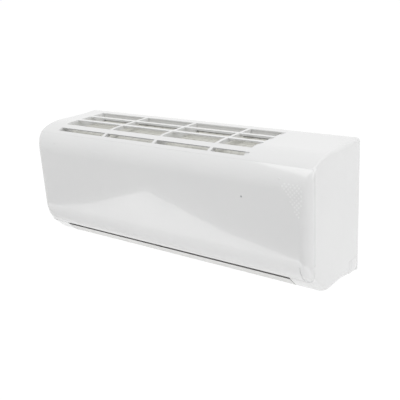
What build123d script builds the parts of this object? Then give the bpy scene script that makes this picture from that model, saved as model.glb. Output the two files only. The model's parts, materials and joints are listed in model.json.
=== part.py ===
from build123d import *
from math import cos, hypot, radians, sin, sqrt
import os

# Indoor unit of a wall-mounted split air conditioner. X runs along the unit, to the right as seen
# from the room, Y points into the wall and Z up. The origin is the middle of the wall plate's back face.
# Places in the cross-section are (y, h): h is the height above the casing's lowest line.

# Casing
length = 715.0
height = 282.0
depth = 208.4
wall = 2.5
back_gap = 0.5
crown_back = 80.4
crown_radius = 120.0
nose_radius = 52.0
chest_height = 98.6
chin_radius = 74.4
belly_radius = 54.3
belly_back = 81.8
belly_height = 8.5
heel_back = 75.0
heel_front = 14.0
back_corner = 11.5
end_front_radius = 21.0
end_top_radius = 6.0
end_bottom_radius = 8.0

# Front panel and the seam round it
seam_depth = 187.1
seam_gap = 0.5
panel_wall = 2.5
liner_inset = 4.0
corner_inset = 1.2
panel_bottom = 46.5
notch_height = 83.0
notch_width = 22.0
hinge_behind = 30.4
hinge_below = 17.0
hinge_pin_radius = 2.0
arm_width = 5.0
arm_from_end = 62.5

# Intake grille
grille_left = 54.3
grille_right = 145.2
cell_pitch = 142.5
rib_width = 5.0
rib_depth = 6.0
slot_rows = [(31.0, 65.0), (74.0, 105.0), (115.0, 151.0), (167.0, 178.5)]

# Air path
mouth_from_end = 54.1
chamber_left = 57.5
chamber_right = 153.5
fan_behind = 113.4
fan_height = 117.0
fan_radius = 44.0
blade_count = 35
blade_thickness = 1.2
disc_count = 9
floor_tilt = 40.65
lip_behind = 71.9
lip_height = 10.5
guide_gap = 4.0
tongue_gap = 4.0
tongue_radius = 3.5
upper_lip_behind = 28.4
upper_lip_height = 52.0

# Louver
louver_behind = 58.4
louver_height = 26.0
louver_wall = 3.0
louver_end_gap = 0.8
louver_rear_behind = 69.4
louver_top = 42.5
louver_pin_radius = 2.5

# Vanes
vanes_per_group = 5
vane_pitch = 49.0
vane_from_bracket = 31.0
vane_thickness = 1.6
vane_front = 22.5
vane_rear = 51.0
vane_pivot = 36.0
vane_top = 56.0
vane_pin_radius = 2.0
link_pin = 47.8
link_pin_radius = 1.5
link_width = 6.6
base_thickness = 3.0

# Evaporator
slab_thickness = 24.0
tube_radius = 3.5
tube_wall = 0.6
row_spacing = 12.0
tube_pitch = 21.0
plate_thickness = 1.5

# Fits
running = 0.08
loose = 0.3
close = 0.05
press = 0.01

base = -height / 2
half = length / 2
front = -depth
mouth = half - mouth_from_end
chamber = (-half + chamber_left, half - chamber_right)
fan = (front + fan_behind, fan_height)
lip = (front + lip_behind, lip_height)
louver_axis = (front + louver_behind, louver_height)
hinge = (front + hinge_behind, height - hinge_below)
flow = (-cos(radians(floor_tilt)), -sin(radians(floor_tilt)))
rise = (flow[1], -flow[0])
seam = front + (depth - seam_depth)
middle = (chamber[0] + chamber[1]) / 2


def along(point, direction, distance):
    return (point[0] + direction[0] * distance, point[1] + direction[1] * distance)


def toward(start, end):
    span = hypot(end[0] - start[0], end[1] - start[1])
    return ((end[0] - start[0]) / span, (end[1] - start[1]) / span)


def side_plane(x):
    return Plane(origin=(x, 0, base), x_dir=(0, 1, 0), z_dir=(1, 0, 0))


def duct_point(back, up):
    # a place in the air duct: back from the lower lip along the floor, and up from the floor
    return along(along(lip, flow, -back), rise, up)


def duct_plane(x):
    # local x runs back along the duct floor, local y stands up from it
    return Plane(origin=(x, lip[0], base + lip[1]), x_dir=(0, -flow[0], -flow[1]), z_dir=(1, 0, 0))


def duct_block(x, back, up, mode=Mode.ADD):
    # a block along X with its section given in the duct's directions
    with BuildSketch(duct_plane(x[0])) as face:
        with Locations(((back[0] + back[1]) / 2, (up[0] + up[1]) / 2)):
            Rectangle(abs(back[1] - back[0]), abs(up[1] - up[0]))
    extrude(face.sketch, amount=x[1] - x[0], mode=mode)


def duct_pin(x, back, up, radius, mode=Mode.ADD):
    # a round pin that stands up from the duct floor
    foot = duct_point(back, up[0])
    with Locations(Plane(origin=(x, foot[0], base + foot[1]), x_dir=(1, 0, 0), z_dir=(0, rise[0], rise[1]))):
        Cylinder(radius, up[1] - up[0], align=(Align.CENTER, Align.CENTER, Align.MIN), mode=mode)


def block(x, y, h, mode=Mode.ADD):
    with Locations(((x[0] + x[1]) / 2, (y[0] + y[1]) / 2, base + (h[0] + h[1]) / 2)):
        Box(abs(x[1] - x[0]), abs(y[1] - y[0]), abs(h[1] - h[0]), mode=mode)


def rod(x, place, radius, mode=Mode.ADD):
    # a round bar along X, centred on a place (y, h)
    with Locations(Location(((x[0] + x[1]) / 2, place[0], base + place[1]), (0, 90, 0))):
        Cylinder(radius, abs(x[1] - x[0]), mode=mode)


def post(x, y, h, radius, mode=Mode.ADD):
    # a round bar along Y at height h
    with Locations(Location((x, (y[0] + y[1]) / 2, base + h), (90, 0, 0))):
        Cylinder(radius, abs(y[1] - y[0]), mode=mode)


def stud(x, y, h, radius, mode=Mode.ADD):
    # an upright round bar
    with Locations((x, y, base + (h[0] + h[1]) / 2)):
        Cylinder(radius, abs(h[1] - h[0]), mode=mode)


def prism(points, x, mode=Mode.ADD):
    # a polygon of (y, h) points, extruded along X
    with BuildSketch(side_plane(x[0])) as face:
        with BuildLine():
            Polyline(*points, close=True)
        make_face()
    extrude(face.sketch, amount=x[1] - x[0], mode=mode)


def finish(piece, name):
    piece.part.label = name
    export_step(piece.part, f"parts/{name}.step")


def casing_outline(inset):
    # the casing's cross-section, shrunk evenly by inset
    crown = (front + crown_back, height - crown_radius)
    drop = sqrt((crown_radius - nose_radius) ** 2 - (crown_back - nose_radius) ** 2)
    nose = (front + nose_radius, crown[1] + drop)
    brow = along(crown, toward(crown, nose), crown_radius - inset)
    chin = (front + chin_radius, chest_height)
    slope = (-sqrt(0.5), -sqrt(0.5))
    throat = along(chin, slope, chin_radius - inset)
    belly = (front + belly_back, belly_height + belly_radius)
    jaw = along(belly, slope, belly_radius - inset)
    tail = (-back_corner - back_gap, height - back_corner)
    rear = -back_gap - inset
    with BuildSketch() as face:
        with BuildLine():
            Line((tail[0], height - inset), (crown[0], height - inset))
            RadiusArc((crown[0], height - inset), brow, -(crown_radius - inset))
            RadiusArc(brow, (front + inset, nose[1]), -(nose_radius - inset))
            Line((front + inset, nose[1]), (front + inset, chin[1]))
            RadiusArc((front + inset, chin[1]), throat, -(chin_radius - inset))
            Line(throat, jaw)
            RadiusArc(jaw, (belly[0], belly_height + inset), -(belly_radius - inset))
            Line((belly[0], belly_height + inset), (-heel_back, belly_height + inset))
            Line((-heel_back, belly_height + inset), (-heel_front, inset))
            Line((-heel_front, inset), (rear, inset))
            Line((rear, inset), (rear, tail[1]))
            RadiusArc((rear, tail[1]), (tail[0], height - inset), -(back_corner - inset))
        make_face()
    return face.sketch


def casing_body(inset, end_inset):
    # the whole casing as a solid, shrunk by one inset all round and another at its ends:
    # its cross-section, plan and front outline together
    reach = half - end_inset
    with BuildPart() as body:
        with BuildSketch(side_plane(-reach)):
            add(casing_outline(inset))
        extrude(amount=2 * reach)
        with BuildSketch(Plane.XY.offset(base - 1)) as plan:
            with Locations((0, front / 2)):
                Rectangle(2 * reach, depth - 2 * inset)
            corners = plan.vertices().group_by(Axis.Y)[0]
            fillet(corners, end_front_radius - end_inset)
        extrude(amount=height + 2, mode=Mode.INTERSECT)
        with BuildSketch(Plane.XZ.offset(-1)) as elevation:
            Rectangle(2 * reach, height - 2 * inset)
            top = elevation.vertices().group_by(Axis.Y)[-1]
            fillet(top, max(end_top_radius - end_inset, 0.5))
            bottom = elevation.vertices().group_by(Axis.Y)[0]
            fillet(bottom, max(end_bottom_radius - end_inset, 0.5))
        extrude(amount=depth + 2, mode=Mode.INTERSECT)
    return body.part


def casing_layer(outer, inner, y):
    # the layer of the casing between two insets, kept between two places along Y
    with BuildPart() as layer:
        add(outer)
        add(inner, mode=Mode.SUBTRACT)
        block((-half - 1, half + 1), y, (-1, height + 1), mode=Mode.INTERSECT)
    return layer.part


os.makedirs("parts", exist_ok=True)
liner_inner = liner_inset + wall
shell_outer = casing_body(0.0, 0.0)
shell_inner = casing_body(wall, wall)
liner_outer_body = casing_body(liner_inset, liner_inset)
liner_inner_body = casing_body(liner_inner, liner_inner)

# Filter path: flat under the grille, round the front, down to the drip pan
filter_radius = 62.0
filter_centre = (front + 86.4, height - 82.0)
filter_front = filter_centre[0] - filter_radius
filter_level = filter_centre[1] + filter_radius
filter_back = -28.0
filter_foot = 118.0
filter_thickness = 1.8
filter_net = 0.6
filter_ends = (-half + grille_left, half - chamber_right)
rail_width = 6.0
rail_groove = 1.6
rail_middle = -half + grille_left + 2 * cell_pitch
rail_reach = rail_width / 2 - rail_groove
rail_xs = [filter_ends[0] - rail_reach, rail_middle, filter_ends[1] + rail_reach]


def filter_band(thickness):
    # a band of the given thickness along the filter path
    y, h = filter_centre
    inner = filter_radius - thickness / 2
    outer = filter_radius + thickness / 2
    with BuildSketch() as face:
        with BuildLine():
            Line((filter_back, h + outer), (y, h + outer))
            RadiusArc((y, h + outer), (y - outer, h), -outer)
            Line((y - outer, h), (y - outer, filter_foot))
            Line((y - outer, filter_foot), (y - inner, filter_foot))
            Line((y - inner, filter_foot), (y - inner, h))
            RadiusArc((y - inner, h), (y, h + inner), inner)
            Line((y, h + inner), (filter_back, h + inner))
            Line((filter_back, h + inner), (filter_back, h + outer))
        make_face()
    return face.sketch


def filter_inside(offset):
    # everything behind and below the filter path moved inwards by offset
    radius = filter_radius - offset
    left = filter_centre[0] - radius
    with BuildSketch() as face:
        with BuildLine():
            Line((10, filter_centre[1] + radius), (filter_centre[0], filter_centre[1] + radius))
            RadiusArc((filter_centre[0], filter_centre[1] + radius), (left, filter_centre[1]), -radius)
            Line((left, filter_centre[1]), (left, -10))
            Line((left, -10), (10, -10))
            Line((10, -10), (10, filter_centre[1] + radius))
        make_face()
    return face.sketch


# Front frame: the skin of the top, sides and chin, and a liner behind the front panel
opening_left = half - 37.5
opening_low = 62.0
opening_high = height - 30.0
arm_xs = [-half + arm_from_end, half - arm_from_end]
lug_width = 3.0
lug_gap = 0.5
lug_half = 4.0
lip_strip = 98.0
side_foot = 57.5
grille = (-half + grille_left, half - grille_right)
column_edges = [grille[0] + cell_pitch * n for n in range(4)] + [grille[1]]
knockout_depth = 41.0
knockout_back = 4.0
knockout_foot = 6.0
knockout_height = 32.0
knockout_gap = 0.4
receiver = (half - 141.6, 201.0)
button = (half - 111.5, 201.0)
button_radius = 4.0
board_gap = 6.0
board_pin = 1.4
screw_radius = 1.7
screw_head = 3.2
casing_screw_xs = (-200.0, 0.0, 200.0)
screw_height = opening_low - 4.0
screw_seat = front + 20.8
terminal_door = (half - 87.5, half - 42.5, 104.0, 150.0)

with BuildPart() as screw_bosses:
    for x in casing_screw_xs:
        post(x, (front + 10, screw_seat + 2.5), screw_height, 5.0)
    add(liner_outer_body, mode=Mode.INTERSECT)

# lower corners of the frame, beside the panel's notches and level with the casing's ends
with BuildPart() as foot_corners:
    add(casing_layer(casing_body(corner_inset, 0.0), casing_body(liner_inner, wall), (front, seam)))
    inner_reach = half - notch_width + seam_gap
    block((-inner_reach, inner_reach), (front - 1, 0), (-1, height + 1), mode=Mode.SUBTRACT)
    block((-half - 1, half + 1), (front - 1, 0), (notch_height - seam_gap, height + 1), mode=Mode.SUBTRACT)

with BuildPart() as front_frame:
    add(casing_layer(shell_outer, shell_inner, (seam, 1)))
    add(foot_corners.part)
    add(casing_layer(liner_outer_body, liner_inner_body, (front - 1, seam + wall)))
    add(casing_layer(shell_outer, liner_inner_body, (seam, seam + wall)))
    # rails that hold the filters' edges
    for x in rail_xs:
        with BuildSketch(side_plane(x - rail_width / 2)) as rail:
            add(casing_outline(wall - close))
            with Locations(((filter_back - 1 + seam + wall) / 2, height / 2)):
                Rectangle(filter_back - 1 - seam - wall, height, mode=Mode.INTERSECT)
            add(casing_outline(liner_inner - close))
            with Locations(((filter_back - 1 + front) / 2, (filter_foot + height) / 2)):
                Rectangle(filter_back - 1 - front, height - filter_foot, mode=Mode.INTERSECT)
            add(filter_inside(3.0), mode=Mode.SUBTRACT)
        extrude(rail.sketch, amount=rail_width)
    for x, sides in zip(rail_xs, [(1,), (-1, 1), (-1,)]):
        for side in sides:
            groove_middle = x + side * (rail_width - rail_groove) / 2
            with BuildSketch(side_plane(groove_middle - rail_groove / 2)) as groove:
                add(filter_band(filter_thickness + 2 * loose))
            extrude(groove.sketch, amount=rail_groove, mode=Mode.SUBTRACT)
    # deep ribs under the grille
    for x in column_edges[1:4]:
        with BuildSketch(side_plane(x - rib_width / 2)) as rib:
            add(casing_outline(wall - close))
            add(casing_outline(wall + rib_depth), mode=Mode.SUBTRACT)
            with Locations((-(slot_rows[0][0] + slot_rows[-1][1]) / 2, height - 20)):
                Rectangle(slot_rows[-1][1] - slot_rows[0][0] + 4, 40, mode=Mode.INTERSECT)
        extrude(rib.sketch, amount=rib_width)
    # intake slots
    for left, right in zip(column_edges, column_edges[1:]):
        start = left + (0 if left == grille[0] else rib_width / 2)
        end = right - (0 if right == grille[1] else rib_width / 2)
        for near, far in slot_rows:
            block((start, end), (-far, -near), (height - 22, height + 1), mode=Mode.SUBTRACT)
    # the openings behind the panel, for the filters and for the terminals
    block((-opening_left, grille[1]), (front - 1, seam - 1), (opening_low, opening_high), mode=Mode.SUBTRACT)
    block(terminal_door[:2], (front - 1, seam - 1), terminal_door[2:], mode=Mode.SUBTRACT)
    post(receiver[0], (front, front + 12), receiver[1], button_radius, mode=Mode.SUBTRACT)
    post(button[0], (front, front + 12), button[1], button_radius + loose, mode=Mode.SUBTRACT)
    # windows for the panel's arms, and the lugs that hold their pins
    for x in arm_xs:
        block(
            (x - arm_width / 2 - 1, x + arm_width / 2 + 1),
            (front, seam + wall + 1),
            (height - 46, height - 17.4),
            mode=Mode.SUBTRACT,
        )
        side = 1 if x > 0 else -1
        inner = x + side * (arm_width / 2 + lug_gap)
        lug = sorted((inner, inner + side * lug_width))
        block(lug, (hinge[0] - lug_half, hinge[0] + lug_half), (hinge[1] - 4, hinge[1] + 4.2))
        rod((lug[0] - 1, lug[1] + 1), hinge, hinge_pin_radius + running, mode=Mode.SUBTRACT)
    # the louver's mouth, the open underside and the open back
    block((-mouth, mouth), (front, -lip_strip), (-1, panel_bottom + 0.5), mode=Mode.SUBTRACT)
    block((-half + side_foot, half - side_foot), (-lip_strip - 1, 1), (-1, 30), mode=Mode.SUBTRACT)
    block((-half + 14, half - 14), (-6, 1), (6, height - 20), mode=Mode.SUBTRACT)
    # bosses for the casing's screws
    add(screw_bosses.part)
    for x in casing_screw_xs:
        post(x, (front, screw_seat), screw_height, screw_head + 0.4, mode=Mode.SUBTRACT)
        post(x, (front, screw_seat + 3), screw_height, screw_radius + 0.2, mode=Mode.SUBTRACT)
    # bosses that carry the display board
    for x in (receiver[0] + 14, receiver[0] + 42):
        post(x, (front + liner_inner - close, front + liner_inner + board_gap), receiver[1] + 9, 3.0)
        post(x, (front + liner_inner, front + liner_inner + board_gap + 2.6), receiver[1] + 9, board_pin)
    # knocked-out corners for pipes that leave sideways
    for side in (-1, 1):
        corner = sorted((side * (half + 1), side * (half - wall - 1)))
        block(corner, (-knockout_depth, -knockout_back), (knockout_foot, knockout_height), mode=Mode.SUBTRACT)
finish(front_frame, "front_frame")

for side, name in ((-1, "pipe_knockout_left"), (1, "pipe_knockout_right")):
    with BuildPart() as knockout:
        face_x = sorted((side * half, side * (half - wall)))
        block(
            face_x,
            (-knockout_depth + knockout_gap, -knockout_back - knockout_gap),
            (knockout_foot + knockout_gap, knockout_height - knockout_gap),
        )
    finish(knockout, name)

# Front panel: a shell hooked over the frame's front, with two goose-neck arms that carry the hinge pins
elbow = along(hinge, (-0.06, -1.0), 13.4)
arm_leg = 2.3
arm_foot = (front + 6.1, height - 38)
with BuildPart() as front_panel:
    add(casing_layer(shell_outer, casing_body(panel_wall, panel_wall), (front - 1, seam - seam_gap)))
    block((-half - 1, half + 1), (front - 1, 0), (-1, panel_bottom), mode=Mode.SUBTRACT)
    for side in (-1, 1):
        corner = sorted((side * (half + 1), side * (half - notch_width)))
        block(corner, (front - 1, 0), (0, notch_height), mode=Mode.SUBTRACT)
    post(receiver[0], (front - 1, front + 4), receiver[1], 2.0, mode=Mode.SUBTRACT)
    for x in arm_xs:
        arm = (x - arm_width / 2, x + arm_width / 2)
        down = toward(hinge, elbow)
        across = (down[1], -down[0])
        prism(
            [
                along(hinge, across, arm_leg),
                along(along(elbow, across, arm_leg), down, arm_leg),
                along(along(elbow, across, -arm_leg), down, arm_leg),
                along(hinge, across, -arm_leg),
            ],
            arm,
        )
        out = toward(elbow, arm_foot)
        beside = (out[1], -out[0])
        prism(
            [
                along(elbow, beside, arm_leg),
                along(arm_foot, beside, arm_leg),
                along(arm_foot, beside, -arm_leg),
                along(elbow, beside, -arm_leg),
            ],
            arm,
        )
        rod(arm, hinge, arm_leg)
        side = 1 if x > 0 else -1
        pin = (x + side * (arm_width / 2 - 0.5), x + side * (arm_width / 2 + lug_gap + lug_width + 1))
        rod(pin, hinge, hinge_pin_radius)
finish(front_panel, "front_panel")

with BuildPart() as receiver_window:
    post(receiver[0], (front, front + 2.2), receiver[1], 2.0 - close)
finish(receiver_window, "receiver_window")

# Filters: a ribbed frame with a fine net, one each side of the middle rail
filter_reach = rail_reach + loose
filter_spans = {
    "filter_left": (rail_xs[0] + filter_reach, rail_xs[1] - filter_reach),
    "filter_right": (rail_xs[1] + filter_reach, rail_xs[2] - filter_reach),
}
filter_border = 6.0
filter_rib = 2.0
filter_ribs = 5
cross_heights = [filter_foot + 3, filter_foot + 42, filter_foot + 81]
cross_backs = [filter_back - 3, filter_back - 49, filter_back - 94]


def filter_strip(x, thickness):
    with BuildSketch(side_plane(x[0])) as band:
        add(filter_band(thickness))
    extrude(band.sketch, amount=x[1] - x[0])


for name, (start, end) in filter_spans.items():
    with BuildPart() as air_filter:
        filter_strip((start, end), filter_net)
        filter_strip((start, start + filter_border), filter_thickness)
        filter_strip((end - filter_border, end), filter_thickness)
        for n in range(1, filter_ribs + 1):
            x = start + (end - start) * n / (filter_ribs + 1)
            filter_strip((x - filter_rib / 2, x + filter_rib / 2), filter_thickness)
        for h in cross_heights:
            y = (filter_front - filter_thickness / 2, filter_front + filter_thickness / 2)
            block((start, end), y, (h - filter_border / 2, h + filter_border / 2))
        for y in cross_backs:
            h = (filter_level - filter_thickness / 2, filter_level + filter_thickness / 2)
            block((start, end), (y - filter_border / 2, y + filter_border / 2), h)
    finish(air_filter, name)

# Wall plate: sheet steel with two hooks at the top, two catches at the bottom and a stiffening bead
plate_steel = 1.2
plate_half = 290.0
plate_low = 62.0
plate_high = 250.0
chassis_back = 7.0
hook_x = 165.0
hook_width = 30.0
hook_height = 240.0
hook_lip = 12.0
catch_height = 68.0
plate_hole_radius = 3.0
plate_holes = (500.0, 120.0)
chassis_front = chassis_back + wall
hook_reach = chassis_front + 2.5
with BuildPart() as wall_plate:
    block((-plate_half, plate_half), (-plate_steel, 0), (plate_low, plate_high))
    block((-plate_half + 50, plate_half - 50), (-3.4, -plate_steel), (plate_high - 62, plate_high - 50))
    with Locations((0, 0, 0)):
        with GridLocations(plate_holes[0], 1, 2, 1):
            for h in (-plate_holes[1] / 2, plate_holes[1] / 2):
                with Locations(Location((0, -plate_steel / 2, h), (90, 0, 0))):
                    Cylinder(plate_hole_radius, 2 * plate_steel, mode=Mode.SUBTRACT)
    for x in (-hook_x, hook_x):
        hook = (x - hook_width / 2, x + hook_width / 2)
        block(hook, (-hook_reach, -plate_steel), (hook_height, hook_height + 1.6))
        block(hook, (-hook_reach, -hook_reach + 1.6), (hook_height, hook_height + hook_lip))
        block(hook, (-hook_reach, -plate_steel), (catch_height - 1.6, catch_height))
        block(hook, (-hook_reach, -hook_reach + 1.6), (catch_height - 5, catch_height))
finish(wall_plate, "wall_plate")

# Rear chassis: back wall, drip trough, fan guide, duct floor, end walls and motor bed in one moulding
chassis_half = half - 17.5
chassis_top = height - 21.0
trough_height = 152.0
trough_front = 54.0
trough_rim = 163.0
guide_radius = fan_radius + guide_gap
floor_below = (fan[0] - lip[0]) * rise[0] + (fan[1] - lip[1]) * rise[1]
guide_foot = along(fan, rise, -floor_below)
guide_centre = along(guide_foot, rise, guide_radius)
guide_end_angle = 28.0
guide_end = (guide_centre[0] + guide_radius * cos(radians(guide_end_angle)),
             guide_centre[1] + guide_radius * sin(radians(guide_end_angle)))
guide_end_out = along(guide_end, toward(guide_centre, guide_end), wall)
floor_back = -heel_back + 13.0
channel_top = 62.0
bearing_radius = 17.0
hub_hole = 30.0
motor = (chamber[1] + 17.0, chamber[1] + 56.0)
bed_ribs = [(chamber[1] + 12.0, chamber[1] + 15.0), (chamber[1] + 58.0, chamber[1] + 61.0)]
recess_back = 22.0
pipe_window = ((bed_ribs[0][1] + 0.5, bed_ribs[1][0] - 0.5), (-58.0, -10.0))
cable_inlet = (half - 75.5, -30.0)
grommet_radius = 8.0
motor_radius = 36.0
bed_front = fan[0] - motor_radius - 10.0
clamp_xs = (bed_ribs[0][0] + 1.0, bed_ribs[1][1] - 1.0)
clamp_ys = (fan[0] - motor_radius - 5.5, fan[0] + motor_radius + 5.0)
clamp_screws = [(x, y) for x in clamp_xs for y in clamp_ys]
ring_radius = 25.0
ring_bore = 12.0
box_x = (half - 81.5, half - 13.5)
box_back = 52.0
box_h = (96.0, height - 30.0)
box_posts = [(x, h) for x in (box_x[0] + 10, box_x[1] - 10) for h in (box_h[0] + 14, box_h[1] - 14)]
end_wall = [
    (-chassis_back - 1, trough_rim - 4),
    (-chassis_back - 1, channel_top),
    (floor_back, channel_top),
    (floor_back, belly_height + wall + 1),
    duct_point(9, 0),
    duct_point(19.5, 8),
    duct_point(21.5, 20),
    duct_point(24, 60),
    duct_point(52, 66),
    (fan[0] - 50.5, fan[1] - 6),
    (fan[0] - 44, fan[1] + 36),
    (fan[0], fan[1] + 60),
    (-trough_front, trough_rim - 4),
]


def curved_floor(x):
    # guide behind the fan and the duct floor below it, one wall thick
    outer_foot = along(guide_foot, rise, -wall)
    with BuildSketch(side_plane(x[0])) as face:
        with BuildLine():
            Line(lip, guide_foot)
            RadiusArc(guide_foot, guide_end, -guide_radius)
            Line(guide_end, guide_end_out)
            RadiusArc(guide_end_out, outer_foot, guide_radius + wall)
            Line(outer_foot, along(lip, rise, -wall + 0.8))
            Line(along(lip, rise, -wall + 0.8), lip)
        make_face()
    extrude(face.sketch, amount=x[1] - x[0])


with BuildPart() as rear_chassis:
    block((-chassis_half, chassis_half), (-chassis_front, -chassis_back), (channel_top, chassis_top))
    room = (chamber[0] - wall, chamber[1] + wall)
    curved_floor(room)
    block(room, (-trough_front, -chassis_back), (trough_height, trough_height + wall))
    block(room, (-trough_front - wall, -trough_front), (trough_height, trough_rim))
    prism(
        [
            guide_end,
            guide_end_out,
            (-trough_front, trough_height + 1),
            (-trough_front - wall, trough_height + 1),
        ],
        room,
    )
    for x in (room[0], chamber[1]):
        prism(end_wall, (x, x + wall))
    # underside, from the duct's lip to the open pipe channel
    prism(
        [
            (lip[0] + 1.5, belly_height),
            (-heel_back, belly_height),
            (-heel_front - 2, 0.5),
            (-heel_front - 2, 0.5 + wall),
            (-heel_back, belly_height + wall),
            (lip[0] + 1.5, belly_height + wall),
        ],
        (-half + side_foot + 0.5, half - side_foot - 0.5),
    )
    under = (-half + side_foot + 0.5, half - side_foot - 0.5)
    block(under, (floor_back - wall, floor_back), (9.0, channel_top))
    block((room[0], under[1]), (floor_back - wall, -chassis_back), (channel_top - wall, channel_top))
    # blind end of the mouth, right of the air duct
    duct_block((chamber[1] + 1, half - side_foot - 0.5), (0, recess_back + wall), (-wall, 0))
    # motor bed
    for rib in bed_ribs:
        prism(
            [
                (-chassis_back - 1, fan[1]),
                (-chassis_back - 1, channel_top - 1),
                (floor_back, channel_top - 1),
                (floor_back, 9.0),
                (bed_front + 23, 9.0),
                duct_point(recess_back + wall + 1, -1),
                duct_point(recess_back + wall + 1, 46),
                (bed_front, fan[1] - 30),
                (bed_front, fan[1]),
            ],
            rib,
        )
    for x, y in clamp_screws:
        stud(x, y, (fan[1] - 20, fan[1]), 3.6)
        stud(x, y, (fan[1] - 14, fan[1] + 1), screw_radius + close, mode=Mode.SUBTRACT)
    rod((bed_ribs[0][0] - 1, bed_ribs[1][1] + 1), fan, ring_radius, mode=Mode.SUBTRACT)
    rod((room[0] - 1, room[0] + wall + 1), fan, bearing_radius, mode=Mode.SUBTRACT)
    rod((chamber[1] - 1, chamber[1] + wall + 1), fan, hub_hole, mode=Mode.SUBTRACT)
    block(pipe_window[0], pipe_window[1], (channel_top - wall - 1, channel_top + 1), mode=Mode.SUBTRACT)
    inlet_hole = (channel_top - wall - 1, channel_top + 1)
    stud(cable_inlet[0], cable_inlet[1], inlet_hole, grommet_radius, mode=Mode.SUBTRACT)
    # posts for the control box, and windows for the wall plate's hooks and catches
    for x, h in box_posts:
        post(x, (-box_back, -chassis_front), h, 4.5)
        post(x, (-box_back - 1, -box_back + 12), h, screw_radius + close, mode=Mode.SUBTRACT)
    for x in (-hook_x, hook_x):
        slot = (x - hook_width / 2 - 2, x + hook_width / 2 + 2)
        block(slot, (-chassis_front - 1, 0), (hook_height - 13, hook_height + 1.6), mode=Mode.SUBTRACT)
        block(slot, (-chassis_front - 1, 0), (catch_height - 6, catch_height + 1), mode=Mode.SUBTRACT)
finish(rear_chassis, "rear_chassis")

# Outlet frame: upper duct wall with the vortex tongue, front drip pan, its two spouts and the mouth's cheeks
tongue_angle = radians(205.0)
tongue = along(fan, (cos(tongue_angle), sin(tongue_angle)), fan_radius + tongue_gap + tongue_radius)
upper_lip = (front + upper_lip_behind, upper_lip_height)
tongue_side = toward(tongue, upper_lip)
roof_end = along(tongue, (tongue_side[1], -tongue_side[0]), -tongue_radius)
roof = toward(roof_end, upper_lip)
roof_out = (roof[1], -roof[0])
pan_front = front + 23.9
pan_back = front + 59.4
pan_floor = 92.0
pan_fall = 4.0
pan_rim = 114.0
pan_run = (chamber[0] + 0.5, chamber[1] - 0.5)
spout = (front + 42.4, 84.5)
spout_radius = 7.5
spout_bore = 5.5
spout_length = 18.0
sump_length = 18.0
sump_bottom = 70.0
sump_top = 101.0
cheek_thickness = 2.4
cheek_x = mouth + 0.2
shaft_hole = 3.2
lip_back = along(along(upper_lip, roof, -3), roof_out, wall)
lip_bar = [upper_lip, lip_back, (pan_front + wall, 64.0), (pan_front, 62.0)]
with BuildPart() as outlet_frame:
    lip_top = along(upper_lip, roof_out, wall)
    prism([roof_end, upper_lip, lip_top, along(roof_end, roof_out, wall)], pan_run)
    rod(pan_run, tongue, tongue_radius)
    prism(lip_bar, (-cheek_x - cheek_thickness, cheek_x + cheek_thickness))
    block(pan_run, (pan_front, pan_front + wall), (62.0, pan_rim))
    pan_rise = pan_floor + pan_fall
    prism(
        [
            (pan_front, pan_floor),
            (pan_back, pan_rise),
            (pan_back, pan_rise + wall),
            (pan_front, pan_floor + wall),
        ],
        pan_run,
    )
    prism(
        [
            tongue,
            (pan_back - wall, pan_rise),
            (pan_back - wall, pan_rim),
            (pan_back, pan_rim),
            (pan_back + 1.5, pan_rise + 1),
        ],
        pan_run,
    )
    # a sump with a spout at each end of the pan
    sump = [
        (pan_front + 1, sump_bottom),
        along(roof_end, roof, 26),
        along(tongue, roof_out, 1),
        (pan_back - 1, sump_top),
        (pan_front + 1, sump_top),
    ]
    hollow = [
        (pan_front + wall + 3, sump_bottom + 6),
        (spout[0] + 2, sump_bottom + 6),
        (pan_back - 5, sump_bottom + 17),
        (pan_back - 5, sump_top + 1),
        (pan_front + wall + 3, sump_top + 1),
    ]
    for side, end in ((-1, pan_run[0]), (1, pan_run[1])):
        prism(sump, sorted((end, end - side * sump_length)))
        prism(hollow, sorted((end - side * wall, end - side * (sump_length - wall))), mode=Mode.SUBTRACT)
        rod(sorted((end - side, end + side * spout_length)), spout, spout_radius)
        bored = sorted((end - side * (wall + 1), end + side * (spout_length + 1)))
        rod(bored, spout, spout_bore, mode=Mode.SUBTRACT)
    # back and roof of the mouth's blind end, and cheeks that close both ends of the mouth
    recess = (chamber[1] + wall + 0.5, cheek_x + 0.5)
    duct_block(recess, (recess_back, recess_back + wall), (0.3, 61.0))
    recess_top = duct_point(recess_back + wall, 62.0)
    prism([recess_top, duct_point(recess_back + wall, 59.0), upper_lip, lip_top], recess)
    for side in (-1, 1):
        cheek = sorted((side * cheek_x, side * (cheek_x + cheek_thickness)))
        with BuildSketch(side_plane(cheek[0])) as face:
            add(casing_outline(wall + 0.7))
            with BuildLine():
                Polyline(
                    (pan_front + 0.7, 62.0),
                    (pan_front + 0.7, 0.0),
                    (lip[0] + 18, 0.0),
                    duct_point(recess_back + wall, 0.3),
                    recess_top,
                    (pan_front + wall, 64.0),
                    close=True,
                )
            make_face(mode=Mode.INTERSECT)
        extrude(face.sketch, amount=cheek_thickness)
    rod((-cheek_x - 3, -cheek_x + 1), louver_axis, louver_pin_radius + running, mode=Mode.SUBTRACT)
    rod((cheek_x - 1, cheek_x + 3), louver_axis, shaft_hole, mode=Mode.SUBTRACT)
    # bosses that take the casing's screws
    for x in casing_screw_xs:
        post(x, (screw_seat + 2.7, screw_seat + 11), screw_height, 4.0)
        post(x, (screw_seat, screw_seat + 12), screw_height, screw_radius + close, mode=Mode.SUBTRACT)
finish(outlet_frame, "outlet_frame")

with BuildPart() as drain_plug:
    plug_end = pan_run[0] - spout_length
    rod((plug_end, plug_end + 10), spout, spout_bore - close)
    rod((plug_end - 3, plug_end), spout, spout_radius)
finish(drain_plug, "drain_plug")

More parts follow.
